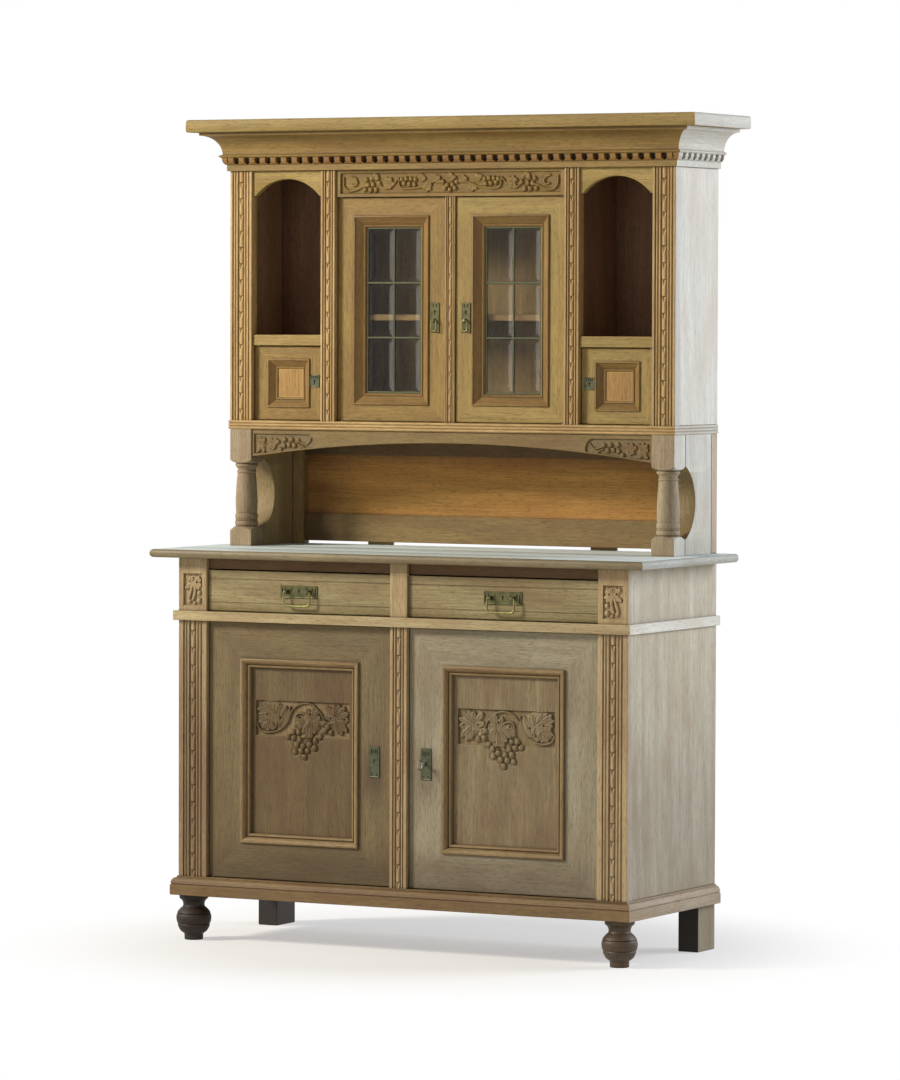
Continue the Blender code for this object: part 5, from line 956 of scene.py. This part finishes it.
profile = np.concatenate([
    [(-k["wall"], z0), (bandOut - 0.001, z0), (bandOut, z0 + 0.001), (bandOut, bandTop)],
    np.stack([bandOut + (ovoloOut - bandOut) * s, bandTop + ovoloHigh * c], -1),
    np.stack([ovoloOut + (beadOut - ovoloOut) * np.sin(math.pi * t), ovoloTop + beadHigh * t], -1)[1:-1],
    np.stack([k["coveIn"] + (k["coveOut"] - k["coveIn"]) * c, beadTop + (coveTop - beadTop) * s], -1),
    [(filletOut, coveTop), (filletOut, z1), (k["coveOut"] - k["wall"], z1), (-k["wall"], beadTop)]])


def notches(place, z, side):     # how far a notch is cut back at this place along the moulding
    pitch, half = corniceLook["pitch"], corniceLook["notch"] / 2
    off = np.abs(np.mod(place, pitch) - pitch / 2)
    within = (place > 0) & (place < 8 * pitch) if side else np.abs(place) < lines["half"]
    point = bandTop + 0.0008 + 0.0050 * np.clip(off / half, 0, 1)
    cut = corniceLook["deep"] * smoothStep(half + 0.0004, half - 0.0004, off)
    return np.where(within & (z > point) & (z < ovoloTop + 0.0006), cut, 0)


# painted shade: the insides of the notches (slot 2) take the near-black finish
crown = wrapSweep(profile, upperFront, k["steps"], notches, (bandTop, ovoloTop))
crown += boxes([((-0.633, 0.633), (upperFront + 0.017, back - 0.0005), (z0 + 0.0003, z0 + 0.012))])
# painted light: the cornice's ends take the pale lit finish
makePiece("cornice_crown", crown, [wood("crown", "x"), wood("sideLit", "y"), wood("blackened", "x"), wood("ovolo", "x")],
          nodes=["cornice_moulding"], angle=40)
slabLook = {"half": 0.740, "out": 0.078, "levels": [(0.004, 2.103), (0.0012, 2.1042), (0.0, 2.1068), (0.0, 2.1285),
                                                    (0.0008, 2.1322), (0.0026, 2.1348), (0.006, 2.136)]}
# painted light: the slab's ends take the pale lit finish
makePiece("cornice_slab", stackedSlab(slabLook["levels"], slabLook["half"], upperFront - slabLook["out"]),
          [wood("golden", "x"), wood("sideLit", "y")], nodes=["cornice_top"])
print("cornice done")

# upper doors: mitred frames with leaded lights, and small doors with a sunk panel
glazedLook = {
    "x": (0.0155, 0.3335), "stile": 0.048, "rails": (0.042, 0.047), "thickness": 0.024, "rebate": 0.0137, "lip": 0.008,
    "moulding": [(0, 0), (0, 2.4), (0.5, 3.7), (1.6, 4.5), (3.0, 4.6), (4.2, 3.9), (4.8, 2.6), (5.4, 2.2), (8, 0.3),
                 (12, -2.7), (16, -5.7), (20, -8.6), (22.4, -10.2), (23.3, -10.6), (23.7, -9.4), (24.9, -8.6),
                 (26.4, -8.8), (27.6, -9.8), (28.8, -11.2), (29.6, -12.2), (30, -12.6), (30, -13.7)]}
smallLook = {
    "x": (0.3785, 0.5835), "stile": 0.0385, "rails": (0.0325, 0.0325), "thickness": 0.024, "tall": 0.195, "panel": 0.0265,
    "moulding": [(0, 0), (0, 2.6), (0.8, 3.8), (2.6, 4.2), (4.6, 3.9), (6.0, 2.6), (6.4, 1.2), (8.0, 0.2), (12, -3.2),
                 (16, -6.6), (19.5, -9.2), (20.6, -9.8), (20.8, -8.6), (22.2, -7.8), (24.2, -8.0), (25.8, -9.2),
                 (26.8, -10.6), (27.5, -11.5)]}
paneLook = {"came": 0.0058, "bevel": 0.0125, "rise": 0.0026, "thick": 0.0040, "columns": 2, "rows": 3, "inset": 0.0295,
            "soft": 0.0018, "over": 0.006}


def paneSolid(left, low, wide, tall, front):     # a flat pane whose front edges are ground to a bevel
    e = paneLook["bevel"]
    rings = [(0, front + paneLook["thick"]), (0, front + paneLook["rise"]), (e, front), (e + 0.0002, front)]
    right, high = left + wide, low + tall
    p = [[(left + i, y, low + i), (right - i, y, low + i), (right - i, y, high - i), (left + i, y, high - i)]
         for i, y in rings]
    return tube(p, np.repeat([0, 2, 0], 4))


faceUp = upperFront + 0.016
z0 = lines["upperLow"] + 0.002
for word, side in sides:
    name, g = "glazed_door_" + word, paneLook
    finish = "crown" if side < 0 else "golden"     # painted shade: the left doors take the darker crown finish
    upperWoods = [wood(finish, "z"), wood(finish, "x"), steel, wood("goldenTrim", "z"), wood("goldenTrim", "x"),
                  wood("honey", "z")]
    members, inner = framedDoor(side, glazedLook, faceUp, z0, lines["friezeLow"] - 0.002)
    makePiece(name + "_members", members, upperWoods, name, [name + "_frame"])
    a0, a1, b0, b1 = np.add(inner, np.multiply(g["inset"], (1, -1, 1, -1)))
    front, lead, over = faceUp + 0.0145, g["came"], g["over"]
    wide, tall = (a1 - a0 - lead) / g["columns"], (b1 - b0 - lead) / g["rows"]
    light = [paneSolid(a0 + lead * 0.7 + wide * i, b0 + lead * 0.7 + tall * j, wide - lead * 0.4, tall - lead * 0.4, front)
             for i in range(g["columns"]) for j in range(g["rows"])]
    rows = [((a0 + wide * i, a0 + wide * i + lead), (front - 0.0004, front + 0.0048), (b0 - over, b1 + over), 1)
            for i in range(g["columns"] + 1)]
    rows += [((a0 - over, a1 + over), (front - 0.0003, front + 0.0046), (b0 + tall * j, b0 + tall * j + lead), 1)
             for j in range(g["rows"] + 1)]
    makePiece(name + "_leaded_light", light + boxes(rows, g["soft"]), [glass, came, bevel], name, [name + "_glazing"],
              8)

    name, r = "small_door_" + word, smallLook["panel"]
    members, inner = framedDoor(side, smallLook, faceUp, z0, lines["upperLow"] + smallLook["tall"])
    panel = (inner[0] + r, inner[1] - r), (faceUp + 0.0113, faceUp + 0.0225), (inner[2] + r, inner[3] - r), 5
    makePiece(name + "_members", members + boxes([panel], 0.0005), upperWoods, name, [name])
print("upper doors done")

# a cast plate: raised rim with a bevelled edge, sunk field, and slots and a keyhole sunk a little and painted near
# black as painted shade;
# slots are (x, z, width, height) and their mirror images
castLook = {"step": 0.0005, "thick": 0.0022, "corner": 0.003, "rim": (0.0026, 0.0032), "field": 0.0005, "bevel": 0.0012,
            "pierced": 0.0004, "eye": 0.0027, "bit": (0.0012, 0.0085)}


def castPlate(x, z, y, look):
    c, hole = castLook, look["hole"]
    u, w = np.meshgrid(*[np.linspace(-size / 2, size / 2, int(size / c["step"])) for size in look["plate"]], indexing="ij")
    inX, inZ = look["plate"][0] / 2 - np.abs(u), look["plate"][1] / 2 - np.abs(w)
    edge = np.minimum(inX, inZ)
    h = c["thick"] * smoothStep(0, c["bevel"], np.minimum(edge, inX + inZ - c["corner"]))
    h -= c["field"] * smoothStep(*c["rim"], edge)
    dark = (np.hypot(u, w - hole) < c["eye"]) | (np.abs(u) < c["bit"][0]) & (w < hole) & (w > hole - c["bit"][1])
    for sx, sz, wide, tall in look["slots"]:
        dark |= (np.abs(np.abs(u) - sx) < wide / 2) & (np.abs(w - sz) < tall / 2)
    slot = (dark[:-1, :-1] & dark[1:, 1:]).reshape(-1).astype(int)
    return reliefSlab(x + u, y - np.where(dark, c["pierced"], h), z + w, y, slot)


# in through the eye, down, across and back, with round corners
def hangingLoop(inner, half, drop, corner, bow, bend=0.003):
    a = np.linspace(0, quarter, 8)
    left = [(-inner, 0), (-half + bend, 0)]
    left += [(-half + bend - bend * math.sin(t), -bend + bend * math.cos(t)) for t in a]
    left += [(-half + corner * (1 - math.cos(t)), -drop + corner * (1 - math.sin(t))) for t in a]
    flat = half - corner
    middle = [(x, -drop - bow * math.cos(quarter * x / flat)) for x in np.linspace(-flat, flat, 15)[1:-1]]
    return np.array(left + middle + [(-x, z) for x, z in reversed(left)])


# knobs turn about Y as (reach, girth) in mm; the loop hangs at axis, out and up from the plate's back and middle,
# and its wire thickens along the grip
pullLook = {
    "drawer": {"plate": (0.110, 0.033), "hole": 0.004, "axis": (0.015, 0.0005), "posts": (-0.0315, 0.0315),
               "slots": [(0.0220, 0.0065, 0.0022, 0.0085), (0.0400, 0.0065, 0.0022, 0.0085), (0.0485, 0, 0.0022, 0.020)],
               "knob": [(0, 6.2), (1.2, 6), (3, 4.4), (6, 3.4), (8.5, 3.4), (9.5, 4.2), (10.5, 4.6), (12.5, 4.8),
                        (15, 4.6), (16.6, 3.4), (17.2, 0.6)],
               "loop": (0.0305, 0.0385, 0.0355, 0.009, 0.0010), "wire": (0.0019, 0.0030), "part": "_bail", "word": "_bail"},
    "glazed_door": {"plate": (0.027, 0.077), "hole": 0.016, "axis": (0.010, -0.008), "posts": (0,),
                    "slots": [(0.0045, 0.0305, 0.0020, 0.0070), (0.0045, -0.0310, 0.0020, 0.0060)],
                    "knob": [(0, 6), (1, 5.6), (2, 4.2), (4, 3.6), (6, 4.2), (9, 4.4), (11.2, 3.6), (12.2, 0.6)],
                    "loop": (0.0021, 0.0071, 0.026, 0.0045, 0), "wire": (0.0015, 0.0015), "part": "_pull", "word": "_drop"}}
for kind, p in pullLook.items():
    for word, side in sides:
        name = f"{kind}_{word}"
        low, high = boxOf(name + "_plate")
        x, z, y = (low[0] + high[0]) / 2, (low[2] + high[2]) / 2, high[1]
        axisY, axisZ = y - p["axis"][0], z + p["axis"][1]
        cast = castPlate(x, z, y, p)
        reach, girth = np.transpose(p["knob"])[:, :, None] * mm
        a = np.linspace(0, 2 * math.pi, 24, endpoint=False)
        for post in p["posts"]:
            cast.append(tube(grid(x + post + girth * np.cos(a), y - 0.0015 - reach, axisZ + girth * np.sin(a))))
        makePiece(name + "_cast_plate", cast, [brass, pit], name, [name + "_plate"], 40)
        across, down = hangingLoop(*p["loop"]).T
        thin, thick = p["wire"]
        girth = thin + (thick - thin) * smoothStep(0.2, 1.0, -down / p["loop"][2])
        wire = wirePiece(grid(x + across, axisY, axisZ + down), girth)
        makePiece(name + p["word"] + "_wire", wire, [handled], name + p["part"], [name + p["part"]], 50)

# bare key plates: on the base doors and the small doors
keyPlates = {
    "base": {"x": 0.075, "z": 0.487, "y": baseFront + 0.0128, "plate": (0.031, 0.081), "hole": 0.004,
             "slots": [(0.0085, 0.0275, 0.0020, 0.0110), (0.0030, 0.0275, 0.0020, 0.0110),
                       (0.0060, -0.0320, 0.0020, 0.0050)]},
    "small": {"x": 0.402, "z": 1.453, "y": faceUp - 0.0002, "plate": (0.030, 0.032), "hole": 0.001,
              "slots": [(0.0085, 0.0095, 0.0018, 0.0050), (0.0030, 0.0095, 0.0018, 0.0050)]}}
for word, side in sides:
    for kind, p in keyPlates.items():
        makePiece(f"{kind}_key_plate_{word}", castPlate(side * p["x"], p["z"], p["y"], p), [tarnished, pit],
                  f"{kind}_door_{word}", angle=40)

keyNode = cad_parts["door_key"]
keyNode.data.materials.clear()
keyNode.data.materials.append(steel)
print("metal done")

floorLook = {"half": 14.0, "z": -0.0005, "colour": "#f4f3f0"}


def studioFloor():     # matt pale floor that turns into plain white away from the cabinet
    h, z = floorLook["half"], floorLook["z"]
    mesh = bpy.data.meshes.new("studio_floor")
    mesh.from_pydata([(-h, -h, z), (h, -h, z), (-h, h, z), (h, h, z)], [], [[0, 1, 3, 2]])
    floor = bpy.data.objects.new("studio_floor", mesh)
    bpy.context.scene.collection.objects.link(floor)
    material, tree, place = newMaterial("pale_floor")
    far = addNode(tree, "VectorMath", {"operation": "LENGTH", 0: place})
    fade = addNode(tree, "MapRange", {"interpolation_type": "SMOOTHSTEP", "Value": far, "From Min": 0.50,
                                      "From Max": 1.20, "To Min": 0.45})
    matt = addNode(tree, "BsdfDiffuse", {"Color": tint(floorLook["colour"])})
    white = addNode(tree, "Emission", {"Color": (1, 1, 1, 1), "Strength": 1.0})
    ray = addNode(tree, "LightPath").outputs
    seen = addNode(tree, "Math", {"operation": "MAXIMUM", 0: ray["Is Camera Ray"], 1: ray["Is Glossy Ray"]})
    amount = addNode(tree, "Math", {"operation": "MULTIPLY", 0: fade, 1: seen})
    mesh.materials.append(closed(material, addNode(tree, "MixShader", {0: amount, 1: matt, 2: white})))


def setInPlace(name, data, axes, place):     # axes are right, up and backwards
    thing = bpy.data.objects.new(name, data)
    thing.matrix_world = Matrix(np.vstack([np.column_stack([*axes, place]), (0, 0, 0, 1)]).tolist())
    bpy.context.scene.collection.objects.link(thing)
    return thing


lampLook = {     # place, size, power, colour; each faces the cabinet's middle
    "key": ((-4.5, -3.8, 3.85), 1.4, 490, "#fff8ea"),
    "front": ((-0.35, -6.0, 1.7), 1.2, 26, "#fffaf0"),
    "fill": ((3.8, -3.6, 1.6), 2.2, 10, "#f4f8ff"),
    "window": ((3.6, 2.6, 2.5), 2.4, 170, "#eef3ff"),
}


def studioLight():
    for name, (place, size, power, colour) in lampLook.items():
        lamp = bpy.data.lights.new(name, "AREA")
        lamp.shape, lamp.size, lamp.energy, lamp.color = "SQUARE", size, power, tint(colour)[:3]
        away = np.array(place) - np.array([0, 0, 1.1])
        away /= np.linalg.norm(away)
        right = np.cross([0, 0, 1], away)
        right /= np.linalg.norm(right)
        setInPlace(name, lamp, (right, np.cross(away, right), away), place)
    world = bpy.data.worlds.new("studio")
    bpy.context.scene.world = world
    world.use_nodes = True
    tree = world.node_tree
    tree.nodes.clear()
    ray = addNode(tree, "LightPath").outputs
    seen = addNode(tree, "Math", {"operation": "MAXIMUM", 0: ray["Is Camera Ray"], 1: ray["Is Glossy Ray"]})
    seen = addNode(tree, "Math", {"operation": "MAXIMUM", 0: seen, 1: ray["Is Transmission Ray"]})
    strength = addNode(tree, "MapRange", {"Value": seen, "To Min": 0.10, "To Max": 1.0})
    sky = addNode(tree, "Background", {"Color": (1, 1, 1, 1), "Strength": strength})
    addNode(tree, "OutputWorld", {"Surface": sky})


cameraLook = {"place": (6.63958, -12.36316, 1.61937), "turn": 0.4914, "rise": 0.0407, "roll": 0.0034, "lens": 181.73}


def photoCamera():
    turn, rise, roll = (cameraLook[key] for key in ("turn", "rise", "roll"))
    away = np.array([math.sin(turn) * math.cos(rise), -math.cos(turn) * math.cos(rise), math.sin(rise)])
    right = np.array([math.cos(turn), math.sin(turn), 0])
    up = np.cross(away, right)
    axes = math.cos(roll) * right + math.sin(roll) * up, math.cos(roll) * up - math.sin(roll) * right, away
    data = bpy.data.cameras.new("photo")
    data.lens, data.sensor_width, data.sensor_fit, data.clip_end = cameraLook["lens"], 36, "AUTO", 100
    bpy.context.scene.camera = setInPlace("photo", data, axes, cameraLook["place"])


studioFloor()
studioLight()
photoCamera()
bpy.context.scene.view_settings.view_transform = "Standard"
